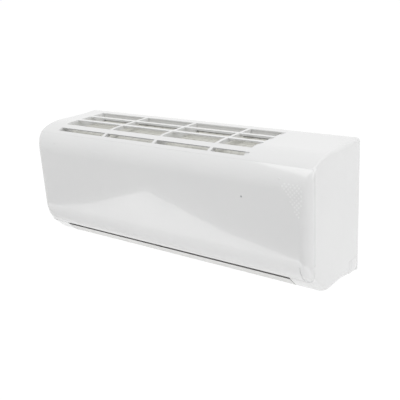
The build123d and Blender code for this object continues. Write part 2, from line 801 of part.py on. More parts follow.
# Louver: a curved blade with ears at its ends and beside the middle bracket
louver_reach = mouth - louver_end_gap
ear_width = 3.0
ear_radius = 5.0
ear_reach = (8.0, 2.5)
hub_length = 6.0
bracket_thickness = 3.0
blade_along = (sqrt(0.5), -sqrt(0.5))
blade_inward = (sqrt(0.5), sqrt(0.5))
slope_line = (front + chin_radius) + chest_height - chin_radius * sqrt(2)
blade_drop = (louver_axis[0] + louver_axis[1] - slope_line) / sqrt(2)
ear_foot = along(louver_axis, blade_inward, louver_wall / 2 - blade_drop)
shaft_radius = 2.5


def ear(x):
    prism(
        [
            along(louver_axis, blade_along, ear_radius),
            along(louver_axis, blade_along, -ear_radius),
            along(ear_foot, blade_along, -ear_reach[0]),
            along(ear_foot, blade_along, ear_reach[1]),
        ],
        x,
    )
    rod(x, louver_axis, ear_radius)


with BuildPart() as louver:
    with BuildSketch(side_plane(-louver_reach)) as blade:
        add(casing_outline(0.0))
        add(casing_outline(louver_wall), mode=Mode.SUBTRACT)
        blade_y = (front, front + louver_rear_behind)
        with Locations(((blade_y[0] + blade_y[1]) / 2, louver_top / 2)):
            Rectangle(blade_y[1] - blade_y[0], louver_top, mode=Mode.INTERSECT)
    extrude(blade.sketch, amount=2 * louver_reach)
    ear((-louver_reach, -louver_reach + ear_width))
    rod((-louver_reach - 4.5, -louver_reach + 1), louver_axis, louver_pin_radius)
    ear((louver_reach - ear_width, louver_reach))
    rod((louver_reach - hub_length, louver_reach), louver_axis, ear_radius)
    hub_bore = (louver_reach - hub_length + 1, louver_reach + 1)
    rod(hub_bore, louver_axis, shaft_radius + press, mode=Mode.SUBTRACT)
    for side in (-1, 1):
        near = middle + side * (bracket_thickness / 2 + 0.8)
        ear(sorted((near, near + side * ear_width)))
    rod((middle - 6, middle + 6), louver_axis, louver_pin_radius)
finish(louver, "louver")

with BuildPart() as louver_bracket:
    leg = (middle - bracket_thickness / 2, middle + bracket_thickness / 2)
    under = along(along(roof_end, roof, 24), roof_out, -1)
    prism(
        [
            along(louver_axis, (1, 0), 4),
            along(under, roof, -9),
            along(under, roof, 9),
            along(louver_axis, (-1, 0), 4),
        ],
        leg,
    )
    rod(leg, louver_axis, 5.5)
    flange = [along(under, roof, -14), along(under, roof, 14)]
    prism(
        [
            along(flange[0], roof_out, 0.98),
            along(flange[1], roof_out, 0.98),
            along(flange[1], roof_out, -1),
            along(flange[0], roof_out, -1),
        ],
        (middle - 6, middle + 6),
    )
    rod((leg[0] - 1, leg[1] + 1), louver_axis, louver_pin_radius + running, mode=Mode.SUBTRACT)
finish(louver_bracket, "louver_bracket")

# Stepper motor that turns the louver; its shaft sits off the body's centre
stepper_radius = 12.0
stepper_x = (cheek_x + cheek_thickness, cheek_x + cheek_thickness + 19.0)
stepper_centre = along(louver_axis, blade_inward, 8.0)
with BuildPart() as louver_stepper:
    rod((stepper_x[0] + 1.5, stepper_x[1]), stepper_centre, stepper_radius)
    rod((stepper_x[0] + 0.1, stepper_x[0] + 2), louver_axis, 4.5)
    for side in (-1, 1):
        tab = along(stepper_centre, blade_along, side * (stepper_radius + 2))
        rod((stepper_x[0], stepper_x[0] + 2.5), tab, 3.6)
        rod((stepper_x[0] - 1, stepper_x[0] + 4), tab, screw_radius, mode=Mode.SUBTRACT)
    rod((stepper_x[0] - 1, stepper_x[0] + 12), louver_axis, shaft_radius + close, mode=Mode.SUBTRACT)
finish(louver_stepper, "louver_stepper")

with BuildPart() as stepper_shaft:
    rod((louver_reach - hub_length + 1.2, stepper_x[0] + 11.5), louver_axis, shaft_radius)
finish(stepper_shaft, "stepper_shaft")

# Vanes: upright plates on a strip along the duct floor, joined by a link bar
notch = (8.0, 14.0)
notch_front = link_pin - 5.2
group_reach = vane_from_bracket + (vanes_per_group - 1) * vane_pitch
vane_xs = {
    "left": [middle - group_reach + n * vane_pitch for n in range(vanes_per_group)],
    "right": [middle + vane_from_bracket + n * vane_pitch for n in range(vanes_per_group)],
}
vane_foot = base_thickness + 0.4
for side, xs in vane_xs.items():
    for number, x in enumerate(xs, 1):
        with BuildPart() as vane:
            with BuildSketch(duct_plane(x - vane_thickness / 2)) as outline:
                with Locations(((vane_front + vane_rear) / 2, (vane_foot + vane_top) / 2)):
                    Rectangle(vane_rear - vane_front, vane_top - vane_foot)
                fillet(outline.vertices().group_by(Axis.Y)[-1], 8.0)
                with Locations(((notch_front + vane_rear + 1) / 2, (notch[0] + notch[1]) / 2)):
                    Rectangle(vane_rear + 1 - notch_front, notch[1] - notch[0], mode=Mode.SUBTRACT)
            extrude(outline.sketch, amount=vane_thickness)
            duct_pin(x, vane_pivot, (loose, vane_foot + 1), vane_pin_radius)
            duct_pin(x, vane_pivot, (vane_foot, vane_foot + 1.2), 3.6)
            duct_pin(x, link_pin, (notch[0] - 0.5, notch[1] + 0.5), link_pin_radius)
        finish(vane, f"vane_{side}_{number}")
    with BuildPart() as vane_base:
        duct_block((xs[0] - 12, xs[-1] + 12), (vane_pivot - 6, vane_pivot + 6), (0, base_thickness))
        for x in xs:
            duct_pin(x, vane_pivot, (-1, base_thickness + 1), vane_pin_radius + running, mode=Mode.SUBTRACT)
    finish(vane_base, f"vane_base_{side}")
    with BuildPart() as link_bar:
        bar_back = (link_pin - link_width / 2, link_pin + link_width / 2)
        duct_block((xs[0] - 6, xs[-1] + 6), bar_back, (notch[0] + 1.5, notch[1] - 1.5))
        for number, x in enumerate(xs):
            hole = link_pin_radius + (running if number == 0 else loose)
            duct_pin(x, link_pin, (notch[0], notch[1]), hole, mode=Mode.SUBTRACT)
    finish(link_bar, f"link_bar_{side}")

# Fan: a ring of slanted blades carried by discs, on a shaft at each end
fan_left = chamber[0] + 8.0
fan_right = chamber[1] - 8.0
blade_ring = fan_radius - 5.0
blade_chord = 12.0
blade_slant = 40.0
disc_thickness = 2.0
disc_bore = fan_radius - 11.0
hub_radius = 14.0
hub_depth = 16.0
axle_radius = 4.0
disc_pitch = (fan_right - fan_left - disc_thickness) / (disc_count - 1)
disc_xs = [fan_left + disc_pitch * n for n in range(disc_count)]
with BuildPart() as cross_flow_fan:
    with BuildSketch(side_plane(fan_left)) as blades:
        with Locations(fan):
            with PolarLocations(blade_ring, blade_count):
                Rectangle(blade_chord, blade_thickness, rotation=blade_slant)
    extrude(blades.sketch, amount=fan_right - fan_left)
    for x in disc_xs:
        with BuildSketch(side_plane(x)) as disc:
            with Locations(fan):
                Circle(fan_radius)
                if disc_xs[0] < x < disc_xs[-1]:
                    Circle(disc_bore, mode=Mode.SUBTRACT)
        extrude(disc.sketch, amount=disc_thickness)
    rod((fan_left, fan_left + hub_depth), fan, hub_radius)
    rod((fan_right - hub_depth, fan_right), fan, hub_radius)
    rod((fan_left - 1, fan_left + hub_depth + 1), fan, axle_radius + press, mode=Mode.SUBTRACT)
    rod((fan_right - hub_depth - 1, fan_right + 1), fan, axle_radius + press, mode=Mode.SUBTRACT)
finish(cross_flow_fan, "cross_flow_fan")

bearing_x = (chamber[0] - 14.0, chamber[0] - 4.0)
bearing_outer = 8.0
with BuildPart() as fan_shaft:
    rod((bearing_x[0] - 3, fan_left + hub_depth - 1), fan, axle_radius)
finish(fan_shaft, "fan_shaft")

with BuildPart() as fan_bearing:
    rod(bearing_x, fan, bearing_outer)
    rod((bearing_x[0] - 1, bearing_x[1] + 1), fan, axle_radius + running, mode=Mode.SUBTRACT)
finish(fan_bearing, "fan_bearing")

with BuildPart() as bearing_holder:
    rod((bearing_x[0], chamber[0]), fan, bearing_radius - close)
    rod((chamber[0] - wall - 3, chamber[0] - wall), fan, bearing_radius + 4)
    rod((bearing_x[0] - 1, bearing_x[1]), fan, bearing_outer + close, mode=Mode.SUBTRACT)
    rod((bearing_x[1] - 1, chamber[0] + 1), fan, axle_radius + 1, mode=Mode.SUBTRACT)
finish(bearing_holder, "bearing_holder")

boss_radius = ring_bore - close
with BuildPart() as fan_motor:
    rod(motor, fan, motor_radius)
    rod((motor[0] - 6, motor[1] + 6), fan, boss_radius)
    rod((motor[0] - 7, motor[1] + 7), fan, axle_radius + running, mode=Mode.SUBTRACT)
finish(fan_motor, "fan_motor")

with BuildPart() as motor_shaft:
    rod((fan_right - hub_depth + 1, motor[1] + 6), fan, axle_radius)
finish(motor_shaft, "motor_shaft")

ring_half = 2.0
with BuildPart() as motor_rings:
    for x in ((bed_ribs[0][0] + bed_ribs[0][1]) / 2, (bed_ribs[1][0] + bed_ribs[1][1]) / 2):
        rod((x - ring_half, x + ring_half), fan, ring_radius - close)
        rod((x - ring_half - 1, x + ring_half + 1), fan, ring_bore, mode=Mode.SUBTRACT)
finish(motor_rings, "motor_rings")

# Clamp over the two rings: half hoops joined by a bar each side of the motor
clamp_floor = fan[1] + 0.2
clamp_thickness = 3.8
with BuildPart() as motor_clamp:
    for rib in bed_ribs:
        rod(rib, fan, ring_radius + 5)
    for y in clamp_ys:
        bar = (clamp_floor, clamp_floor + clamp_thickness)
        block((bed_ribs[0][0] - 2, bed_ribs[1][1] + 2), (y - 2.7, y + 2.7), bar)
        for rib in bed_ribs:
            toe = fan[0] + (-ring_radius - 2 if y < fan[0] else ring_radius + 2)
            block(rib, sorted((y, toe)), bar)
    rod((bed_ribs[0][0] - 1, bed_ribs[1][1] + 1), fan, ring_radius + 0.02, mode=Mode.SUBTRACT)
    block((bed_ribs[0][0] - 9, bed_ribs[1][1] + 9), (bed_front - 9, 0), (40, clamp_floor), mode=Mode.SUBTRACT)
    for x, y in clamp_screws:
        stud(x, y, (bar[0] - 1, bar[1] + 1), screw_radius + 0.15, mode=Mode.SUBTRACT)
finish(motor_clamp, "motor_clamp")

# Evaporator: three fin packs bent round the fan, one long tube through them, a plate at each end
slab_rear = ((front + 170.4, height - 114.0), (front + 120.4, height - 36.0))
slab_top = ((front + 112.4, height - 36.0), (front + 56.4, height - 96.0))
slab_front = ((front + 42.9, height - 104.0), (front + 42.9, 101.0))
apex = (slab_rear[1][0] + slab_top[0][0]) / 2
fin_gap = 0.3
first_tube = {"rear": 12.0, "top": 10.0, "front": 7.0}
tube_hole = tube_radius + close
coil_run = (pan_run[0] - 0.2, pan_run[1] + 0.2)
fin_run = (coil_run[0] + plate_thickness, coil_run[1] - plate_thickness)


def slab_outline(slab, extra):
    # the four corners of a slab's cross-section, grown sideways by extra
    way = toward(slab[0], slab[1])
    out = (way[1], -way[0])
    reach = slab_thickness / 2 + extra
    near = [along(end, out, reach) for end in slab]
    far = [along(end, out, -reach) for end in slab]
    return [near[0], near[1], far[1], far[0]]


def tube_places(slab, first, out_sign):
    # tube centres in the outer and the inner row of a slab, from its first end to the second
    way = toward(slab[0], slab[1])
    out = (way[1] * out_sign, -way[0] * out_sign)
    rows = []
    for shift in (row_spacing / 2, -row_spacing / 2):
        start = along(along(slab[0], way, first), out, shift)
        rows.append([along(start, way, n * tube_pitch) for n in range(tubes_per_row)])
    return rows


tubes_per_row = 4
rear_rows = tube_places(slab_rear, first_tube["rear"], 1)
top_rows = tube_places(slab_top, first_tube["top"], -1)
front_rows = tube_places(slab_front, first_tube["front"], -1)
packs = (
    ("coil_rear_fins", slab_rear, rear_rows, (apex + fin_gap, 0)),
    ("coil_top_fins", slab_top, top_rows, (front, apex - fin_gap)),
    ("coil_front_fins", slab_front, front_rows, (front, apex - fin_gap)),
)
for name, slab, rows, y_limits in packs:
    with BuildPart() as fins:
        prism(slab_outline(slab, 0), fin_run)
        block(fin_run, y_limits, (0, height), mode=Mode.INTERSECT)
        for place in rows[0] + rows[1]:
            rod((fin_run[0] - 1, fin_run[1] + 1), place, tube_hole, mode=Mode.SUBTRACT)
    finish(fins, name)

outer_tubes = rear_rows[0] + top_rows[0] + front_rows[0]
inner_tubes = rear_rows[1] + top_rows[1] + front_rows[1]
tube_order = outer_tubes + inner_tubes[::-1]
gas_start = tube_order[0]
liquid_start = tube_order[-1]
bend_left = coil_run[0] - 1.0
bend_right = coil_run[1] + 1.0
tube_end = coil_run[1] + 3.5


def tube_ring(x, place):
    with BuildSketch(side_plane(x)) as ring:
        with Locations(place):
            Circle(tube_radius)
            Circle(tube_radius - tube_wall, mode=Mode.SUBTRACT)
    return ring.sketch


with BuildPart() as coil_tubes:
    # one serpentine: straight through the fins and round a bend beyond each end plate
    last = len(tube_order) - 1
    runs = []
    for number, place in enumerate(tube_order):
        right = tube_end if number in (0, last) else bend_right
        runs.append(extrude(tube_ring(bend_left, place), amount=right - bend_left, mode=Mode.PRIVATE))
    for number, (start, stop) in enumerate(zip(tube_order, tube_order[1:])):
        side = -1 if number % 2 == 0 else 1
        x = bend_left if side < 0 else bend_right
        way = toward(start, stop)
        centre = (x, (start[0] + stop[0]) / 2, base + (start[1] + stop[1]) / 2)
        turn = Axis(centre, (0, -side * way[1], side * way[0]))
        runs.append(revolve(tube_ring(x, start), axis=turn, revolution_arc=180, mode=Mode.PRIVATE))
    add(runs)
finish(coil_tubes, "coil_tubes")

plate_margin = 2.0
foot_height = trough_height + wall + loose
outer_rear = slab_outline(slab_rear, plate_margin)
outer_top = slab_outline(slab_top, plate_margin)
outer_front = slab_outline(slab_front, plate_margin)
for name, x in (("coil_plate_left", coil_run[0]), ("coil_plate_right", coil_run[1] - plate_thickness)):
    with BuildPart() as plate:
        span = (x, x + plate_thickness)
        for outline in (outer_rear, outer_top, outer_front):
            prism(outline, span)
        prism([outer_rear[1], outer_rear[2], outer_top[1], outer_top[0]], span)
        prism([outer_top[2], outer_top[3], outer_front[0], outer_front[1]], span)
        prism([slab_rear[0], outer_rear[0], (-20.0, foot_height), (-48.0, foot_height), outer_rear[3]], span)
        for place in tube_order:
            rod((x - 1, x + plate_thickness + 1), place, tube_hole, mode=Mode.SUBTRACT)
    finish(plate, name)

# Pipes from the evaporator down behind the motor and left along the open channel
gas_radius = 4.76
gas_wall = 0.8
liquid_radius = 3.175
liquid_wall = 0.7
gas_bend = 14.0
liquid_bend = 12.0
gas_x = chamber[1] + 34.0
liquid_x = chamber[1] + 22.0
gas_low = (-26.0, 36.0)
liquid_low = (-44.0, 22.0)
gas_end = -150.0
liquid_end = -110.0


def pipe_path(start, x, low, end, bend):
    # right out of the evaporator, down to the channel, then left along it
    with BuildLine() as path:
        FilletPolyline(
            (tube_end, start[0], base + start[1]),
            (x, start[0], base + start[1]),
            (x, low[0], base + low[1]),
            (end, low[0], base + low[1]),
            radius=bend,
        )
    return path.wire()


for name, start, x, low, end, radius, thickness, bend in (
    ("gas_pipe", gas_start, gas_x, gas_low, gas_end, gas_radius, gas_wall, gas_bend),
    ("liquid_pipe", liquid_start, liquid_x, liquid_low, liquid_end, liquid_radius, liquid_wall, liquid_bend),
):
    with BuildPart() as pipe:
        path = pipe_path(start, x, low, end, bend)
        with BuildSketch(Plane(origin=(tube_end, start[0], base + start[1]), z_dir=(1, 0, 0))) as ring:
            Circle(radius)
            Circle(radius - thickness, mode=Mode.SUBTRACT)
        sweep(ring.sketch, path=path)
    finish(pipe, name)

gas_nut = (22.0, 20.0, 7.1)
liquid_nut = (17.0, 18.0, 5.1)
for name, low, end, radius, nut in (
    ("gas_flare_nut", gas_low, gas_end, gas_radius, gas_nut),
    ("liquid_flare_nut", liquid_low, liquid_end, liquid_radius, liquid_nut),
):
    across, nut_length, mouth_radius = nut
    with BuildPart() as flare_nut:
        with BuildSketch(side_plane(end - nut_length + 2)) as hexagon:
            with Locations(low):
                RegularPolygon(across / 2, 6, major_radius=False)
        extrude(hexagon.sketch, amount=nut_length)
        rod((end - nut_length, end + 3), low, radius + close, mode=Mode.SUBTRACT)
        rod((end - nut_length + 1, end - 2), low, mouth_radius, mode=Mode.SUBTRACT)
    finish(flare_nut, name)

foam_radius = 11.0
foam_run = (-120.0, gas_x - 48.0)
with BuildPart() as pipe_insulation:
    rod(foam_run, gas_low, foam_radius)
    rod((foam_run[0] - 1, foam_run[1] + 1), gas_low, gas_radius + close, mode=Mode.SUBTRACT)
finish(pipe_insulation, "pipe_insulation")

strap_x = (60.0, 85.0)
with BuildPart() as pipe_clamp:
    block(strap_x, (-chassis_back + 0.02, -5.0), (4.0, channel_top + 16))
    block(strap_x, (gas_low[0] + foam_radius + 0.1, -5.0), (gas_low[1] - 6, gas_low[1] + 6))
finish(pipe_clamp, "pipe_clamp")

# Electrics: a box at the right end with the control board, closed by a cover that carries the terminals
box_wall = 2.0
box_y = (front + 36.4, -box_back)
with BuildPart() as control_box:
    block(box_x, box_y, box_h)
    inside_x = (box_x[0] + box_wall, box_x[1] - box_wall)
    inside_h = (box_h[0] + box_wall, box_h[1] - box_wall)
    block(inside_x, (box_y[0] - 1, box_y[1] - box_wall), inside_h, mode=Mode.SUBTRACT)
    cable_slot = (inside_x[0] + 8, inside_x[0] + 30)
    block(cable_slot, (box_y[1] - 40, box_y[1] - 20), (box_h[0] - 1, box_h[0] + 3), mode=Mode.SUBTRACT)
    for x, h in box_posts:
        post(x, (box_y[1] - box_wall - 1, box_y[1] + 1), h, screw_radius + 0.2, mode=Mode.SUBTRACT)
finish(control_box, "control_box")

with BuildPart() as inner_screws:
    for x, h in box_posts:
        post(x, (box_y[1] - box_wall, box_y[1] + 10), h, screw_radius)
        post(x, (box_y[1] - box_wall - 2.2, box_y[1] - box_wall), h, screw_head)
        post(x, (box_y[1] - box_wall - 3, box_y[1] - box_wall - 1), h, 1.2, mode=Mode.SUBTRACT)
    for x, y in clamp_screws:
        top = clamp_floor + clamp_thickness
        stud(x, y, (top - 12, top), screw_radius)
        stud(x, y, (top, top + 2.2), screw_head)
        stud(x, y, (top + 1, top + 3), 1.2, mode=Mode.SUBTRACT)
finish(inner_screws, "inner_screws")

cover_y = (box_y[0] - 2.0, box_y[0] - 0.3)
with BuildPart() as control_cover:
    block(box_x, cover_y, box_h)
    for h in (box_h[0] + 70, box_h[0] + 82, box_h[0] + 94):
        vent = (box_x[0] + 14, box_x[1] - 14)
        block(vent, (cover_y[0] - 1, cover_y[1] + 1), (h, h + 4), mode=Mode.SUBTRACT)
finish(control_cover, "control_cover")

terminal_x = (box_x[0] + 3, box_x[0] + 37)
terminal_h = (box_h[0] + 14, box_h[0] + 44)
terminal_depth = 12.0
terminal_front = cover_y[0] - terminal_depth
terminal_count = 4
terminal_pitch = (terminal_x[1] - terminal_x[0] - 2) / terminal_count
with BuildPart() as terminal_block:
    block(terminal_x, (terminal_front, cover_y[0]), terminal_h)
    for n in range(terminal_count):
        x = terminal_x[0] + 2 + n * terminal_pitch
        cell_y = (terminal_front - 1, terminal_front + 6)
        cell_h = (terminal_h[0] + 3, terminal_h[1] - 3)
        block((x, x + terminal_pitch - 2), cell_y, cell_h, mode=Mode.SUBTRACT)
finish(terminal_block, "terminal_block")

door_flange = 3.0
liner_face = front + liner_inset
with BuildPart() as terminal_cover:
    flange_x = (terminal_door[0] - door_flange, terminal_door[1] + door_flange)
    flange_h = (terminal_door[2] - door_flange, terminal_door[3] + door_flange)
    block(flange_x, (liner_face - 1.15, liner_face - 0.05), flange_h)
    block(
        (terminal_door[0] + loose, terminal_door[1] - loose),
        (liner_face - 0.1, liner_face + 2.1),
        (terminal_door[2] + loose, terminal_door[3] - loose),
    )
finish(terminal_cover, "terminal_cover")

board_x = (box_x[0] + 16.0, box_x[0] + 17.6)
with BuildPart() as main_board:
    block(board_x, (box_y[0] + 4, box_y[1] - box_wall - 0.3), (inside_h[0] + 0.3, inside_h[1] - 0.3))
    # capacitor, transformer and relays
    rod((board_x[0], board_x[1] + 30), (-90.0, 205.0), 9.0)
    block((board_x[0], board_x[1] + 24), (-100, -66), (120, 156))
    block((board_x[0] + 3, board_x[1] + 21), (-108, -58), (127, 149))
    for h in (180, 204):
        block((board_x[0], board_x[1] + 16), (-142, -118), (h, h + 18))
finish(main_board, "main_board")

with BuildPart() as cable_grommet:
    stud(cable_inlet[0], cable_inlet[1], (channel_top - wall - 2, channel_top + 2), grommet_radius - close)
    for h in ((channel_top - wall - 2, channel_top - wall - 0.05), (channel_top + 0.05, channel_top + 2)):
        stud(cable_inlet[0], cable_inlet[1], h, grommet_radius + 2.5)
    stud(cable_inlet[0], cable_inlet[1], (channel_top - wall - 3, channel_top + 3), 5.0, mode=Mode.SUBTRACT)
finish(cable_grommet, "cable_grommet")

# Display board with the receiver and the switch that the manual button presses
board_y = (front + liner_inner + board_gap, front + liner_inner + board_gap + 1.6)
switch_front = board_y[0] - 2.6
with BuildPart() as display_board:
    block((receiver[0] - 3, receiver[0] + 46), board_y, (receiver[1] - 13, receiver[1] + 13))
    block((button[0] - 3, button[0] + 3), (board_y[0] - 1.6, board_y[0]), (button[1] - 3, button[1] + 3))
    post(button[0], (switch_front, board_y[0]), button[1], 1.6)
    post(receiver[0], (front + 3.8, board_y[0]), receiver[1], 2.5)
    for x in (receiver[0] + 14, receiver[0] + 42):
        post(x, (board_y[0] - 1, board_y[1] + 1), receiver[1] + 9, board_pin + close, mode=Mode.SUBTRACT)
finish(display_board, "display_board")

button_travel = 0.8
with BuildPart() as auto_button:
    post(button[0], (front + 3.0, front + liner_inner + 1), button[1], button_radius)
    post(button[0], (front + liner_inner + 0.3, front + liner_inner + 1.5), button[1], button_radius + 1.2)
    post(button[0], (front + liner_inner + 1, switch_front - button_travel - loose), button[1], 1.5)
finish(auto_button, "auto_button")

# Screws that hold the casing to the outlet frame, and their caps
with BuildPart() as casing_screws:
    for x in casing_screw_xs:
        post(x, (screw_seat - 1.4, screw_seat), screw_height, screw_head)
        post(x, (screw_seat - 0.2, screw_seat + 10.5), screw_height, screw_radius)
finish(casing_screws, "casing_screws")

with BuildPart() as screw_caps:
    for x in casing_screw_xs:
        post(x, (screw_seat - 2.5, screw_seat - 1.5), screw_height, screw_head + 0.3)
finish(screw_caps, "screw_caps")
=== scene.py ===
import json
import math

import bmesh
import bpy
from mathutils import Matrix, Vector


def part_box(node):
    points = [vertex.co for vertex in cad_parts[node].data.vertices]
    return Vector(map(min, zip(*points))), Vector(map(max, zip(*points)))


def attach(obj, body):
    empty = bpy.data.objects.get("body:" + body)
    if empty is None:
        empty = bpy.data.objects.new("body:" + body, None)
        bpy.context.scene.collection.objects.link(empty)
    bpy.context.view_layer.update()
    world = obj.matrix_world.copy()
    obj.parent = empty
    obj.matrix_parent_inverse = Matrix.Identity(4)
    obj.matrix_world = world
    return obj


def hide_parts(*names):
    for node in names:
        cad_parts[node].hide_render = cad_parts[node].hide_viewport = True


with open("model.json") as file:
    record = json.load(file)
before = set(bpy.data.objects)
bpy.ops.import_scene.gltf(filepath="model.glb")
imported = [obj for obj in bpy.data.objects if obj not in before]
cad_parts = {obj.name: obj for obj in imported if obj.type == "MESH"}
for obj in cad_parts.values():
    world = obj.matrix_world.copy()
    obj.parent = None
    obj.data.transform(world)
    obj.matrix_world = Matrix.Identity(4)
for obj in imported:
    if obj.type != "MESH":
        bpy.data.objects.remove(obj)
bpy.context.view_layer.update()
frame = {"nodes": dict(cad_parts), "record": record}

# Places are written as on the part's drawing: X along the unit, Y into the wall, and h, the height
# above the casing's lowest line, all in millimetres.
mm = 0.001
middleHeight = 141.0
crispAngle = 35.0  # degrees; a sharper turn of the surface stays an edge
weldGap = 0.000002  # this and the next two are in metres, as the mesh tools take them
sliverGap = 0.00001
planeGap = 1e-7


def place(x, y, h):
    return Vector((x * mm, y * mm, (h - middleHeight) * mm))


def smoothStep(t):
    t = min(max(t, 0.0), 1.0)
    return t * t * (3 - 2 * t)


def circlePoints(radius, count):
    turn = [2 * math.pi * n / count for n in range(count)]
    return [(radius * math.cos(a), radius * math.sin(a)) for a in turn]


def pieceName(node):
    words = node.split("_")
    return words[0] + "".join(word.capitalize() for word in words[1:])


def linked(name, data):
    # a new object in the scene, for a mesh, a lamp or the camera
    thing = bpy.data.objects.new(name, data)
    bpy.context.scene.collection.objects.link(thing)
    return thing


def nodeTree(name):
    material = bpy.data.materials.new(name)
    material.use_nodes = True
    nodes = material.node_tree.nodes
    return material, nodes, material.node_tree.links, nodes["Principled BSDF"]


def noiseOn(nodes, links, scale, detail=3.0, stretch=(1, 1, 1)):
    coordinates = nodes.new("ShaderNodeTexCoord")
    mapping = nodes.new("ShaderNodeMapping")
    mapping.inputs["Scale"].default_value = stretch
    noise = nodes.new("ShaderNodeTexNoise")
    noise.inputs["Scale"].default_value = scale
    noise.inputs["Detail"].default_value = detail
    links.new(coordinates.outputs["Object"], mapping.inputs["Vector"])
    links.new(mapping.outputs["Vector"], noise.inputs["Vector"])
    return noise.outputs["Fac"]


def rangeOf(nodes, links, source, low, high, fromLow=0.3, fromHigh=0.7):
    span = nodes.new("ShaderNodeMapRange")
    span.inputs["From Min"].default_value = fromLow
    span.inputs["From Max"].default_value = fromHigh
    span.inputs["To Min"].default_value = low
    span.inputs["To Max"].default_value = high
    links.new(source, span.inputs["Value"])
    return span.outputs["Result"]


def calculate(nodes, links, operation, first, second):
    # the second value is a number or another node's output
    node = nodes.new("ShaderNodeMath")
    node.operation = operation
    links.new(first, node.inputs[0])
    if isinstance(second, float):
        node.inputs[1].default_value = second
    else:
        links.new(second, node.inputs[1])
    return node.outputs[0]


def mixColours(nodes, links, factor, first, second):
    mix = nodes.new("ShaderNodeMix")
    mix.data_type = "RGBA"
    mix.inputs["A"].default_value = (*first, 1)
    mix.inputs["B"].default_value = (*second, 1)
    links.new(factor, mix.inputs["Factor"])
    return mix.outputs["Result"]


def bumpFrom(nodes, links, shader, height, depth, strength=1.0):
    bump = nodes.new("ShaderNodeBump")
    bump.inputs["Distance"].default_value = depth
    bump.inputs["Strength"].default_value = strength
    links.new(height, bump.inputs["Height"])
    links.new(bump.outputs["Normal"], shader.inputs["Normal"])


def mouldedFinish(name, colour, shade, roughness, coat=0.0, grain=900.0, grainDepth=0.00001, metal=0.0,
                  cloud=9.0, stretch=(1, 1, 1)):
    # moulded, painted or rolled surfaces: slow clouds of tone, a band of roughness and a fine skin
    material, nodes, links, shader = nodeTree(name)
    clouds = noiseOn(nodes, links, cloud, 4.0, stretch)
    tone = rangeOf(nodes, links, clouds, 0.0, 1.0)
    links.new(mixColours(nodes, links, tone, colour, shade), shader.inputs["Base Color"])
    links.new(rangeOf(nodes, links, clouds, *roughness), shader.inputs["Roughness"])
    bumpFrom(nodes, links, shader, noiseOn(nodes, links, grain, 2.0, stretch), grainDepth)
    shader.inputs["Metallic"].default_value = metal
    shader.inputs["Coat Weight"].default_value = coat
    shader.inputs["Coat Roughness"].default_value = 0.03
    return material


def wovenFinish(name, colour, shade, pitch):
    # fine net: crossed waves of thread, with dust in drifts
    material, nodes, links, shader = nodeTree(name)
    coordinates = nodes.new("ShaderNodeTexCoord")
    threads = {}
    for direction in ("X", "Y", "Z"):
        wave = nodes.new("ShaderNodeTexWave")
        wave.bands_direction = direction
        wave.inputs["Scale"].default_value = 1 / pitch / 3.2
        links.new(coordinates.outputs["Object"], wave.inputs["Vector"])
        threads[direction] = wave.outputs["Fac"]
    along = calculate(nodes, links, "MAXIMUM", threads["X"], threads["Y"])
    weave = calculate(nodes, links, "MULTIPLY", along, threads["Z"])
    dust = rangeOf(nodes, links, noiseOn(nodes, links, 60.0, 5.0, (0.35, 1.6, 1.0)), 0.0, 0.8)
    lines = rangeOf(nodes, links, along, 0.0, 0.35, 0.0, 1.0)
    drift = calculate(nodes, links, "ADD", dust, lines)
    links.new(mixColours(nodes, links, drift, colour, shade), shader.inputs["Base Color"])
    shader.inputs["Roughness"].default_value = 0.75
    bumpFrom(nodes, links, shader, weave, 0.0002, 0.6)
    return material


def finFinish(name, colour, shade, pitch):
    # coated aluminium, with a grain as fine as the fins' edges
    material, nodes, links, shader = nodeTree(name)
    clouds = noiseOn(nodes, links, 45.0, 4.0, (0.2, 1, 1))
    tone = rangeOf(nodes, links, clouds, 0.0, 1.0)
    links.new(mixColours(nodes, links, tone, colour, shade), shader.inputs["Base Color"])
    links.new(rangeOf(nodes, links, clouds, 0.3, 0.5), shader.inputs["Roughness"])
    bumpFrom(nodes, links, shader, noiseOn(nodes, links, 1 / pitch, 2.0), 0.00003)
    shader.inputs["Metallic"].default_value = 0.85
    return material


